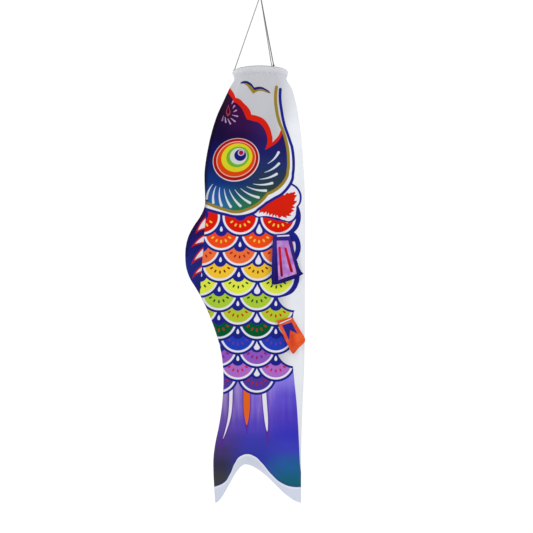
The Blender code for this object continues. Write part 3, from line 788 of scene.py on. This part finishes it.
def belly_print(name):
    ink = Print(name)
    warm = ink.noise(ink.flat, 14.0)
    ink.colour = ink.mix((252, 106, 52), (230, 78, 42), ink.ease(warm, 0.35, 0.7))
    ink.over((196, 58, 36), ink.inside(abs(ink.across - 50) - 5 + (440 - ink.below) * 0.1, 9) * 0.5)
    left, right, notch = (46.2, 436.6), (59.9, 425.3), (48.2, 419.6)
    pennant = ink.larger(ink.outline((34.9, 411.3), (50.6, 406.5), right, left),
                         ink.smaller(ink.beside(left, notch), ink.beside(notch, right)))
    ink.over((44, 44, 142), ink.inside(pennant))
    # a red edge round a white line along the sewn fold; the white is partly the cloth's own pale fold edge
    # and partly a painted highlight on it
    fold_line_and_highlight = ink.stroke((31.6, 408.4), (50, 400.9), 0.9, 0.9)
    ink.over((186, 34, 30), ink.inside(fold_line_and_highlight - 1.1))
    ink.over(WHITE, ink.inside(fold_line_and_highlight))
    return ink.finish()


# ---------------------------------------------------------------- plain materials

STITCH_DROP = 6.8 * MM  # of the hem's stitches below the hoop


def object_place(paint):
    return paint.node("ShaderNodeTexCoord", {}).outputs["Object"]


def brushed_metal(name, light, dark, roughness):
    """Drawn wire or turned metal: bright, with fine scratches and darker spots where it is handled."""
    paint = Paint(name, metallic=1.0)
    place = object_place(paint)
    worn = paint.noise(place, 3 * MM, 4.0)
    paint.set("Base Color", paint.mix(dark, light, paint.ease(worn, 0.3, 0.6)))
    scratched = paint.vector("MULTIPLY", place, (1.0, 1.0, 9.0))
    scratches = paint.noise(scratched, 0.9 * MM, 3.0)
    paint.set("Roughness", scratches * 0.2 + roughness)
    paint.bump(scratches, 0.15, 0.05 * MM, 0.5 * MM)
    return paint.material


def fibre(name, light, dark):
    """Twisted cord or thread, with loose fibres."""
    paint = Paint(name, roughness=0.8)
    place = object_place(paint)
    tufts = paint.noise(place, 0.5 * MM, 5.0, 0.7)
    grime = paint.noise(place, 9 * MM, 2.0)
    colour = paint.mix(dark, light, paint.ease(tufts, 0.2, 0.55))
    paint.set("Base Color", paint.mix(colour, dark, paint.ease(grime, 0.5, 0.9) * 0.4))
    paint.bump(tufts, 0.6, 0.12 * MM, 0.15 * MM)
    paint.set("Specular IOR Level", 0.1)
    return paint.material


def hem_cloth(name):
    """White cloth over the hoop, with painted shade in grey lines along the rim top, where the wire also
    shows, and at the stitching.
    """
    ink = Print(name)
    ink.colour = ink.mix((212, 214, 220), (226, 228, 235), ink.noise(ink.flat, 12.0))
    # partly the wire showing through the cloth and partly painted shade along the top of the rim
    ink.over((92, 93, 98), ink.inside(ink.below + 1.0, 0.7) * 0.85)
    # painted shade along the gathered stitch line
    ink.over((198, 201, 207), ink.inside(abs(ink.below - STITCH_DROP / MM) - 0.5, 1.2) * 0.4)
    ink.set("Base Color", ink.colour)
    ink.bump(ink.weave() * 0.06 + ink.noise(ink.flat, 3.2, 4.0) * 0.6, 0.4, 0.5 * MM)
    ink.set("Roughness", ink.noise(ink.flat, 2.5) * 0.16 + 0.56)
    ink.set("Sheen Weight", 0.03)
    ink.set("Specular IOR Level", 0.2)
    return ink.material


# ---------------------------------------------------------------- mesh helpers

def unit(vector):
    return vector / np.linalg.norm(vector)


SHARP_FROM = math.radians(70)


def add_object(name, data):
    item = bpy.data.objects.new(name, data)
    bpy.context.scene.collection.objects.link(item)
    return item


def add_mesh(name, points, faces, material, place=None, gap=None):
    """A smooth mesh piece; place holds its print coordinates and gap its distance from a seam."""
    data = bpy.data.meshes.new(name)
    data.from_pydata([tuple(point) for point in points], [], faces)
    data.materials.append(material)
    if place is not None:
        layer = data.attributes.new("print_place", "FLOAT_VECTOR", "POINT")
        layer.data.foreach_set("vector", np.asarray(place, np.float32).ravel())
    if gap is not None:
        layer = data.attributes.new("seam_gap", "FLOAT", "POINT")
        layer.data.foreach_set("value", np.asarray(gap, np.float32).ravel())
    data.shade_smooth()
    data.set_sharp_from_angle(angle=SHARP_FROM)
    data.validate()
    return add_object(name, data)


def stand_in(piece, body, slot, *nodes):
    """Lets a piece ride on a body in place of CAD nodes."""
    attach(piece, body)
    if nodes:
        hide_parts(*nodes)


def grid_faces(rows, columns, start=0, flip=False, closed=False, looped=False):
    """Quads over a grid of points numbered row by row.

    closed joins the last column to the first, and looped the last row to the first.
    """
    faces = []
    for i in range(rows if looped else rows - 1):
        here, there = start + i * columns, start + (i + 1) % rows * columns
        for j in range(columns if closed else columns - 1):
            k = (j + 1) % columns
            quad = [here + j, here + k, there + k, there + j]
            faces.append(quad[::-1] if flip else quad)
    return faces


def shell_faces(rows, columns, flip):
    """Two grids, outer then inner, joined round their rims into a closed shell."""
    size = rows * columns
    faces = grid_faces(rows, columns, 0, flip) + grid_faces(rows, columns, size, not flip)
    rim = [(0, j) for j in range(columns)] + [(i, columns - 1) for i in range(1, rows)]
    rim += [(rows - 1, j) for j in range(columns - 2, -1, -1)] + [(i, 0) for i in range(rows - 2, 0, -1)]
    ring = [i * columns + j for i, j in rim]
    for one, other in zip(ring, ring[1:] + ring[:1]):
        quad = [one, one + size, other + size, other]
        faces.append(quad[::-1] if flip else quad)
    return faces


def two_sided(name, outer, inner, seen, gap, flip, material):
    """A thin closed shell from its two walls, which share their print coordinates and seam distances."""
    points = np.concatenate([outer.reshape(-1, 3), inner.reshape(-1, 3)])
    place = [np.column_stack([seen, np.full(len(seen), lining)]) for lining in (0.0, 1.0)]
    faces = shell_faces(*outer.shape[:2], flip)
    return add_mesh(name, points, faces, material, np.concatenate(place), np.concatenate([gap, gap]))


def around(count):
    """Evenly spaced angles of a full turn."""
    return np.linspace(0, 2 * math.pi, count, endpoint=False)


def tube(name, paths, radius, sides, material, closed=False):
    """Round tubes along one or more paths, in one mesh; the radius may change along a path."""
    points, faces = [], []
    for path in paths:
        ahead = np.roll(path, -1, 0) - np.roll(path, 1, 0) if closed else np.gradient(path, axis=0)
        ahead /= np.linalg.norm(ahead, axis=1)[:, None]
        across = np.cross(ahead[0], (0.31, 0.77, 0.55))
        start = len(points)
        for spot, way, thick in zip(path, ahead, np.broadcast_to(radius, len(path))):
            across = unit(across - way * (across @ way))
            up = np.cross(way, across)
            points += [spot + thick * (math.cos(turn) * across + math.sin(turn) * up)
                       for turn in around(sides)]
        faces += grid_faces(len(path), sides, start, closed=True, looped=closed)
        if not closed:
            faces += [range(start, start + sides)[::-1], range(len(points) - sides, len(points))]
    return add_mesh(name, points, faces, material)


# ---------------------------------------------------------------- shape of the cloth tube

def smooth_curve(points):
    """A smooth function through points sorted by their first number."""
    xs, ys = np.array(sorted(points)).T
    slopes = np.gradient(ys, xs)

    def value(x):
        x = np.clip(x, xs[0], xs[-1])
        i = np.clip(np.searchsorted(xs, x) - 1, 0, len(xs) - 2)
        span = xs[i + 1] - xs[i]
        t = (x - xs[i]) / span
        rise = ys[i] * (2 * t**3 - 3 * t**2 + 1) + ys[i + 1] * (3 * t**2 - 2 * t**3)
        return rise + span * (slopes[i] * (t**3 - 2 * t**2 + t) + slopes[i + 1] * (t**3 - t**2))
    return value


def node_points(name):
    return np.array([v.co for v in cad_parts[name].data.vertices])


CAD_SEAM_Y = 0.7 * MM


def read_tube():
    """The back edge, belly edge and half depth of the CAD tube, against the distance below the hoop."""
    parts = ("head", "front_body", "rear_body", "tail")
    spots = np.concatenate([node_points(f"left_{part}_panel") for part in parts])
    spots[:, 2] = HOOP_Z - spots[:, 2]
    seam = spots[abs(spots[:, 1] - CAD_SEAM_Y) < 0.001 * MM]

    def unique(pairs):
        kept = {}
        for below, value in pairs:
            key = round(below / MM, 1)
            kept[key] = max(kept.get(key, -1.0), value)
        return [(key * MM, value) for key, value in kept.items()]

    back = smooth_curve(unique([(p[2], -p[0]) for p in seam if p[0] < 0]))
    belly = smooth_curve(unique([(p[2], p[0]) for p in seam if p[0] > 0]))
    middle = (belly(spots[:, 2]) - back(spots[:, 2])) / 2
    crown = spots[abs(spots[:, 0] - middle) < 0.3 * MM]
    half_depth = smooth_curve(unique([(p[2], p[1] - CAD_SEAM_Y) for p in crown]))
    return back, belly, half_depth


BACK, BELLY, HALF_DEPTH = read_tube()

TUBE_TOP = 3.0 * MM
ROUND_DOWN_TO = 10.0 * MM
LENS_FROM = 75.0 * MM
TAIL_TIP = 701.0 * MM
NOTCH_TOP = 637.0 * MM
NOTCH_PLACE = -0.27
NOTCH_CURVE = 0.75
COLUMNS = 57
CLOTH = 0.3 * MM
SEAM_Y = 0.32 * MM
PUCKER_ROOM = 2.2 * MM


def tail_end(across):
    """How far below the hoop the forked end lies; across runs from -1 at the back to 1 at the belly."""
    reach = (across - NOTCH_PLACE) / np.where(across > NOTCH_PLACE, 1 - NOTCH_PLACE, -1 - NOTCH_PLACE)
    share = NOTCH_CURVE * reach**2 * (3 - 2 * reach) + (1 - NOTCH_CURVE) * reach**1.2
    return NOTCH_TOP + (TAIL_TIP - NOTCH_TOP) * share


def puckers(turn, below, side):
    """Gathers under the hem, soft folds down the body; positive is outwards."""
    seen = below / MM
    gathers = 0.55 * np.exp(-((seen - 11) / 11) ** 2) * np.sin(31 * turn + side + 1.3 * np.sin(3 * turn))
    gathers += 0.8 * np.exp(-((seen - 26) / 16) ** 2) * np.sin(13 * turn + 2 * side + np.sin(5 * turn))
    rise = np.clip((seen - 40) / 90, 0, 1)
    slow = np.sin(7 * turn + seen * 0.011 + side) * np.sin(seen * 0.021 + 1.7 * side)
    fine = np.sin(15 * turn - seen * 0.006 + 2.2) * np.sin(seen * 0.034 + side)
    return (gathers + rise * (0.95 * slow + 0.4 * fine)) * MM


def sway(across, below):
    """A wave that moves both sides together, growing towards the free end."""
    seen = below / MM
    grow = np.clip((seen - 430) / 270, 0, 1) ** 1.5
    return grow * (3.4 * np.sin(across * 2.7 + seen * 0.012 - 1.0) + 1.6 * np.sin(across * 6 + 1)) * MM


def tube_points(turn, below, side, inner):
    """Points of the tube wall, for arrays of turns (0 belly seam, pi back seam) and distances below."""
    back, belly, depth = BACK(below), BELLY(below), HALF_DEPTH(below)
    middle, half_width = (belly - back) / 2, (belly + back) / 2
    across = np.cos(turn)
    lens = np.clip((below - ROUND_DOWN_TO) / (LENS_FROM - ROUND_DOWN_TO), 0, 1)
    swell = np.sin(turn) * (1 - lens + lens * np.sin(turn))
    room = np.clip(depth * swell / PUCKER_ROOM, 0, 1)
    out = SEAM_Y + depth * swell + puckers(turn, below, side) * room
    if inner:
        half_width = half_width - CLOTH
        out = np.maximum(out - CLOTH, 0.06 * MM)
    y = side * out + sway(across, below)
    return np.stack([middle + half_width * across, y, HOOP_Z - below], -1)


def as_seen(points):
    """Print coordinates of points: where they appear on the plane through the axis, in millimetres."""
    nearer = VIEW_DISTANCE / (VIEW_DISTANCE - abs(points[..., 1]))
    across = VIEW_X + (points[..., 0] - VIEW_X) * nearer
    height = VIEW_Z + (points[..., 2] - VIEW_Z) * nearer
    return np.stack([across, HOOP_Z - height], -1) / MM


def cloth_piece(name, side, tops, bottoms, rows, material):
    """One stretch of one side of the tube, as a thin closed shell."""
    turn = np.linspace(0, math.pi, COLUMNS)
    share = np.linspace(0, 1, rows)[:, None]
    below = tops * (1 - share) + bottoms * share
    turns = np.broadcast_to(turn, below.shape)
    outer, inner = [tube_points(turns, below, side, lining) for lining in (False, True)]
    half_width = (BELLY(below) + BACK(below)) / 2
    gap = (half_width * (1 - abs(np.cos(turns))) / MM).ravel()
    return two_sided(name, outer, inner, as_seen(outer.reshape(-1, 3)), gap, side > 0, material)


FRONT_CUT = 300.0 * MM
REAR_CUT = 437.0 * MM
# each stretch of cloth: its joint, half the length of the bend, rows of points, print, material slot, and the
# CAD panels it stands for
STRETCHES = {"head_cloth": ("front_bend", 32 * MM, 150, head_print, "head_print", ["head_panel"]),
             "body_cloth": ("rear_bend", 24 * MM, 56, body_print, "scale_print", ["front_body_panel"]),
             "tail_cloth": ("tail_bend", 40 * MM, 96, tail_print, "tail_print",
                            ["rear_body_panel", "tail_panel"])}


def body_cloth():
    """Both sides of the tube, in stretches that each stand in for CAD panels."""
    level = np.ones(COLUMNS)
    ends = tail_end(np.cos(np.linspace(0, math.pi, COLUMNS)))
    cuts = [TUBE_TOP * level, FRONT_CUT * level, REAR_CUT * level, ends]
    for (stem, settings), tops, bottoms in zip(STRETCHES.items(), cuts, cuts[1:]):
        joint_name, half, rows, paint, slot, panels = settings
        material = paint(slot)
        for side_name, side in SIDES.items():
            piece = cloth_piece(f"{side_name}_{stem}", side, tops, bottoms, rows, material)
            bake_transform(piece)
            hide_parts(*[f"{side_name}_{panel}" for panel in panels])


# ---------------------------------------------------------------- hem, cords and knots

HEM_SEGMENTS = 216
HEM_FOOT = 8.4 * MM
HEM_CLOTH = 0.45 * MM
STITCHES = 84
STITCH_SHARE = 0.62  # of the way from one stitch to the next
STITCH_RADII = [0.12 * MM, 0.2 * MM, 0.22 * MM, 0.22 * MM, 0.2 * MM, 0.12 * MM]


def hem_profile():
    """Outline of the folded hem, outside first: distance out from the hoop's wire and height, in mm."""
    outside = [(-0.35, -8.4), (-0.3, -7.6), (-0.25, -6.8), (0.5, -5.6), (1.3, -3.9), (2.0, -2.2),
               (2.35, -0.8)]
    fold = [(2.3, 0.3), (1.9, 1.3), (1.1, 2.0), (0.0, 2.3), (-1.1, 2.0), (-1.9, 1.3), (-2.3, 0.3)]
    inside = [(-2.3, -1.6), (-2.1, -4.0), (-1.9, -6.4), (-1.8, -8.4)]
    return np.array(outside + fold + inside) * MM


def mouth_hem():
    """Cloth folded over the hoop and gathered along its stitching."""
    outline = hem_profile()
    rows = []
    ahead = np.gradient(outline, axis=0)
    ahead /= np.linalg.norm(ahead, axis=1)[:, None]
    normal = np.stack([ahead[:, 1], -ahead[:, 0]], -1)
    turns = around(HEM_SEGMENTS)
    for layer in (0.0, HEM_CLOTH):
        for (radial, height), out in zip(outline, normal):
            low = np.clip(-height / HEM_FOOT, 0, 1)
            wave = (0.16 + 0.12 * low) * np.sin(37 * turns + 1.4 * np.sin(4 * turns)) * MM
            wave += 0.15 * low * np.sin(11 * turns + 2) * MM
            radius = HOOP_RADIUS + radial - out[0] * layer + wave
            z = HOOP_Z + height - out[1] * layer + 0.3 * wave * np.cos(9 * turns)
            rows.append(np.stack([radius * np.cos(turns), radius * np.sin(turns), z], -1))
    count = len(outline)
    order = list(range(count)) + list(range(2 * count - 1, count - 1, -1))
    points = np.concatenate([rows[i] for i in order])
    faces = grid_faces(2 * count, HEM_SEGMENTS, closed=True, looped=True)
    girth = np.arctan2(points[:, 1], points[:, 0]) * HOOP_RADIUS / MM
    place = np.stack([girth, (HOOP_Z - points[:, 2]) / MM, np.zeros(len(points))], -1)
    piece = add_mesh("mouth_hem_cloth", points, faces, hem_cloth("hem_cloth"), place)
    stand_in(piece, "mouth", "hem_cloth", "mouth_hem")


def hem_stitches():
    """Short stitches round the gathered line of the hem, highest in the middle of each."""
    count = len(STITCH_RADII)
    reach = STITCH_SHARE * math.pi / STITCHES
    radius = HOOP_RADIUS + 0.1 * MM + 0.28 * MM * np.cos(np.linspace(-1.5, 1.5, count))
    height = np.full(count, HOOP_Z - STITCH_DROP)
    paths = []
    for middle in around(STITCHES):
        angles = np.linspace(middle - reach, middle + reach, count)
        paths.append(np.stack([radius * np.cos(angles), radius * np.sin(angles), height], -1))
    thread = fibre("stitch_thread", (222, 224, 229), (190, 192, 198))
    piece = tube("hem_stitches", paths, STITCH_RADII, 6, thread)
    stand_in(piece, "mouth", "sewing_thread", "hem_thread")


STRAND_RADIUS = 0.5 * MM
CORD_LAY = 0.42 * MM
CORD_PITCH = 5.6 * MM
STEPS_PER_PITCH = 8
INTO_TOP_KNOT = 1.4 * MM
INTO_HOOP_KNOT = 1.6 * MM
# size across and along the cord
HOOP_KNOT = (0.5 * MM, 0.46 * MM)
TOP_KNOT = (0.6 * MM, 1.05 * MM)
TIE_RADIUS = 0.3 * MM
TIE_OUT = 2.75 * MM
TIE_UP = 2.6 * MM
TIE_DROP = 0.1 * MM
TIE_SLANT = 0.35 * MM
UP = np.array((0.0, 0.0, 1.0))


def twisted(name, start, end, material):
    """Three strands laid round a straight line."""
    length = np.linalg.norm(end - start)
    ahead = unit(end - start)
    side = unit(np.cross(ahead, (0.0, 0.4, 0.9)))
    up = np.cross(ahead, side)
    share = np.linspace(0, 1, int(length / CORD_PITCH * STEPS_PER_PITCH))[:, None]
    paths = []
    for strand in range(3):
        turn = 2 * math.pi * (share * length / CORD_PITCH + strand / 3)
        paths.append(start + ahead * length * share + CORD_LAY * (np.cos(turn) * side + np.sin(turn) * up))
    return tube(name, paths, STRAND_RADIUS, 6, material)


def knot_path(centre, ahead, size, length):
    """An overhand knot pulled tight, along the direction ahead."""
    ahead = unit(np.array(ahead))
    side = unit(np.cross(ahead, (0.2, 0.9, 0.1)))
    up = np.cross(ahead, side)
    turn = around(64)[:, None]
    a = np.sin(turn) + 2 * np.sin(2 * turn)
    b = np.cos(turn) - 2 * np.cos(2 * turn)
    c = -np.sin(3 * turn)
    return np.array(centre) + size * (a * side + 0.62 * c * up) + length * b * ahead


def node_middle(name):
    low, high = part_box(name)
    return np.array((low + high) / 2)


def node_axis(name):
    """The middle line of a straight CAD cord: the middles of its top and its bottom end."""
    spots = node_points(name)
    order = spots[:, 2].argsort()
    count = len(spots) // 2
    return spots[order[count:]].mean(0), spots[order[:count]].mean(0)


def cord(place, cord_fibre, knot_fibre):
    """One bridle cord, which runs a little way into the knots at its two ends, and its knot at the hoop."""
    high, low = node_axis(f"bridle_cord_{place}")
    ahead = unit(low - high)
    top, foot = high - ahead * INTO_TOP_KNOT, low + ahead * INTO_HOOP_KNOT
    piece = twisted(f"cord_{place}_strands", top, foot, cord_fibre)
    stand_in(piece, "mouth", "cord", f"bridle_cord_{place}")
    path = knot_path(node_middle(f"hoop_knot_{place}"), ahead, *HOOP_KNOT)
    knot = tube(f"hoop_knot_{place}_cord", [path], STRAND_RADIUS, 8, knot_fibre, closed=True)
    stand_in(knot, "mouth", "cord_knot", f"hoop_knot_{place}")


def hoop_tie(place, thread):
    """A turn of thread round the hem at a cord's knot."""
    outward = unit(node_middle(f"hoop_knot_{place}") * (1, 1, 0))
    turn = around(40)[:, None]
    path = (outward * (HOOP_RADIUS + TIE_OUT * np.sin(turn))
            + np.cross(outward, UP) * TIE_SLANT * np.cos(turn / 2)
            + UP * (HOOP_Z - TIE_DROP + TIE_UP * np.cos(turn)))
    tie = tube(f"hoop_tie_{place}", [path], TIE_RADIUS, 8, thread, closed=True)
    stand_in(tie, "mouth", "cord_knot")


def bridle():
    """The three cords, their knots, and the ties that go round the hoop."""
    pale = fibre("pale_cord_fibre", (176, 176, 179), (140, 140, 144))
    grey = fibre("grey_cord_fibre", (118, 118, 121), (88, 88, 92))
    dark = fibre("knot_fibre", (76, 76, 80), (40, 40, 44))
    thread = fibre("tie_thread", (206, 207, 212), (176, 177, 182))
    for place, fibres in (("left", (pale, pale)), ("front", (grey, dark)), ("back", (pale, pale))):
        cord(place, *fibres)
        hoop_tie(place, thread)


def refinish(node, material):
    """Gives a CAD node a better material."""
    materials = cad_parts[node].data.materials
    materials.clear()
    materials.append(material)


def top_knot():
    """The knot that joins the three cords under the swivel loop."""
    knot_fibre = fibre("top_knot_fibre", (190, 190, 193), (120, 120, 124))
    path = knot_path(node_middle("bridle_knot") + UP * 0.7 * MM, (0, 0.05, 1), *TOP_KNOT)
    knot = tube("bridle_top_knot", [path], 0.62 * MM, 8, knot_fibre, closed=True)
    stand_in(knot, "mouth", "cord_knot", "bridle_knot")
    refinish("bridle_loop", knot_fibre)


def hardware():
    """Better metal on the CAD ring, swivel, hoop and sleeve."""
    finishes = {"hanging_ring": brushed_metal("ring_steel", (214, 216, 220), (150, 152, 158), 0.22),
                "swivel_upper_eye": brushed_metal("eye_steel", (206, 208, 212), (140, 142, 148), 0.28),
                "swivel_barrel": brushed_metal("barrel_brass", (214, 178, 102), (150, 114, 56), 0.3),
                "mouth_hoop": brushed_metal("hoop_steel", (190, 192, 196), (118, 120, 126), 0.35),
                "hoop_sleeve": brushed_metal("sleeve_brass", (206, 170, 96), (142, 108, 54), 0.34)}
    finishes["swivel_lower_eye"] = finishes["swivel_upper_eye"]
    for name, finish in finishes.items():
        refinish(name, finish)


# ---------------------------------------------------------------- fins

# corners in print coordinates: the two ends of the sewn edge, then the two free corners
FINS = {
    "pectoral_fin": {"hinge": [(20.6, 263.6), (48.2, 261.6)], "free": [(63.2, 327.6), (15.4, 346)],
                     "round": (0, 2.5), "curl": 5.5, "flare": 4.8, "sag": 3.6,
                     "paint": pectoral_print, "slot": "pectoral_print"},
    "belly_fin": {"hinge": [(26.4, 403.8), (51.7, 397.8)], "free": [(73.6, 436), (50.7, 460)],
                  "round": (5, 5), "curl": 4.0, "flare": 0, "sag": 0,
                  "paint": belly_print, "slot": "belly_print"}}
FIN_ROWS = 36
FIN_COLUMNS = 28
FIN_OUTSIDE = 0.2 * MM
FIN_INSIDE = -0.15 * MM


def fin_plane(node):
    """The middle of a flat CAD fin and its normal, pointing away from the body."""
    spots = node_points(node)
    centre = spots.mean(0)
    normal = np.linalg.svd(spots - centre)[2][2]
    return centre, normal * np.sign(normal[1]) * np.sign(centre[1])


def flap(node, shape, material):
    """A thin cloth flap that hangs from its sewn edge and curls outwards at its free corners."""
    centre, normal = fin_plane(node)
    corners = [np.array(c, float) for c in shape["hinge"] + shape["free"]]
    u = np.linspace(0, 1, FIN_COLUMNS)[None, :, None]
    v = np.linspace(0, 1, FIN_ROWS)[:, None, None]
    top = corners[0] * (1 - u) + corners[1] * u
    foot = corners[3] * (1 - u) + corners[2] * u
    flat = top * (1 - v) + foot * v
    for corner, radius, near in zip(corners[2:], shape["round"], (1.0, 0.0)):
        closeness = np.clip(1 - abs(u - near) * 5, 0, 1) * np.clip(1 - (1 - v) * 5, 0, 1)
        inward = flat.mean((0, 1)) - corner
        flat = flat + closeness**2 * inward / np.linalg.norm(inward) * radius * 0.55
    flat = flat + u * v**14 * (shape["flare"], 0) + 4 * u * (1 - u) * v**3 * (0, shape["sag"])
    nearer = 1 - abs(centre[1]) / VIEW_DISTANCE
    x = VIEW_X + (flat[..., 0] * MM - VIEW_X) * nearer
    z = VIEW_Z + (HOOP_Z - flat[..., 1] * MM - VIEW_Z) * nearer
    y = centre[1] - (normal[0] * (x - centre[0]) + normal[2] * (z - centre[2])) / normal[1]
    surface = np.stack([x, y, z], -1)
    u, v = u[..., 0], v[..., 0]
    ripple = 0.7 * np.sin(u * 5 + v * 3) * v + 0.5 * np.sin(u * 9 + 1) * v**2
    curl = 3.0 * v + shape["curl"] * v**2 * (0.35 + 0.65 * abs(2 * u - 1) ** 1.5)
    fold = 0.5 * np.exp(-((v - 0.03) / 0.03) ** 2)
    lift = (curl + ripple + fold) * MM
    outer = surface + normal * (lift + FIN_OUTSIDE)[..., None]
    inner = surface + normal * (lift + FIN_INSIDE)[..., None]
    edge = np.minimum(np.minimum(u, 1 - u) * 26, (1 - v) * 60)
    flip = np.cross(outer[0, 1] - outer[0, 0], outer[1, 0] - outer[0, 0]) @ normal < 0
    return two_sided(f"{node}_cloth", outer, inner, flat.reshape(-1, 2), edge.ravel(), flip, material)


def fins():
    for name, shape in FINS.items():
        material = shape["paint"](shape["slot"])
        for side_name in SIDES:
            node = f"{side_name}_{name}"
            stand_in(flap(node, shape, material), node, shape["slot"], node)


# ---------------------------------------------------------------- stage, light and camera

def stage_white(name):
    paint = Paint(name, roughness=0.9)
    grain = paint.noise(object_place(paint), 0.4)
    paint.set("Base Color", paint.mix((30, 30, 30), (40, 40, 40), grain))
    paint.set("Emission Color", (1, 1, 1, 1))
    paint.set("Emission Strength", 1.0)
    return paint.material


FLOOR_DROP = 0.22
FLOOR_DEPTH = 1.3
FLOOR_FRONT = 4.0
FLOOR_SIDE = 5.0
SWEEP = 0.5
WALL_TOP = 3.5


def stage():
    """A pale floor that sweeps up into a backdrop."""
    floor_z = cad_box[0].z - FLOOR_DROP
    arc = [(FLOOR_DEPTH + SWEEP * math.sin(turn), floor_z + SWEEP * (1 - math.cos(turn)))
           for turn in np.linspace(0, math.pi / 2, 12)]
    profile = [(-FLOOR_FRONT, floor_z), (0.0, floor_z)] + arc + [(FLOOR_DEPTH + SWEEP, WALL_TOP)]
    points = [(x, y, z) for y, z in profile for x in (-FLOOR_SIDE, FLOOR_SIDE)]
    floor = add_mesh("studio_floor", points, grid_faces(len(profile), 2), stage_white("studio_white"))
    floor.visible_diffuse = False


def area_light(name, place, target, size, power):
    data = bpy.data.lights.new(name, "AREA")
    data.shape = "RECTANGLE"
    data.size, data.size_y = size
    data.energy = power
    light = add_object(name, data)
    light.location = place
    light.rotation_euler = (Vector(target) - Vector(place)).to_track_quat("-Z", "Y").to_euler()


WORLD_LIGHT = 0.62
WORLD_SEEN = 1.0


def white_world():
    """Even white surroundings: plain white where the camera sees them, dimmer as a light."""
    world = bpy.data.worlds.new("studio")
    world.use_nodes = True
    tree = world.node_tree
    seen = tree.nodes.new("ShaderNodeLightPath").outputs["Is Camera Ray"]
    strength = tree.nodes.new("ShaderNodeMapRange")
    strength.inputs["To Min"].default_value = WORLD_LIGHT
    strength.inputs["To Max"].default_value = WORLD_SEEN
    tree.links.new(seen, strength.inputs["Value"])
    tree.nodes["Background"].inputs["Color"].default_value = (1, 1, 1, 1)
    tree.links.new(strength.outputs["Result"], tree.nodes["Background"].inputs["Strength"])
    return world


def lights():
    middle = (0, 0, -0.5)
    area_light("key", (-0.9, -2.0, 0.5), middle, (1.6, 1.6), 11)
    area_light("fill", (1.5, -1.6, -0.2), middle, (1.6, 2.0), 8)
    for name, x in (("rim_left", -1.8), ("rim_right", 1.8)):
        area_light(name, (x, 0.8, 0.0), middle, (1.0, 2.0), 12)
    bpy.context.scene.world = white_world()
    bpy.context.scene.view_settings.view_transform = "Standard"


def camera():
    """Level with the middle of the streamer, square to its right side."""
    data = bpy.data.cameras.new("camera")
    data.sensor_fit = "HORIZONTAL"
    data.angle = VIEW_ANGLE
    item = add_object("camera", data)
    item.location = (VIEW_X, -VIEW_DISTANCE, VIEW_Z)
    item.rotation_euler = (math.radians(90), 0, 0)
    bpy.context.scene.camera = item


body_cloth()
mouth_hem()
hem_stitches()
bridle()
top_knot()
hardware()
fins()
stage()
lights()
camera()
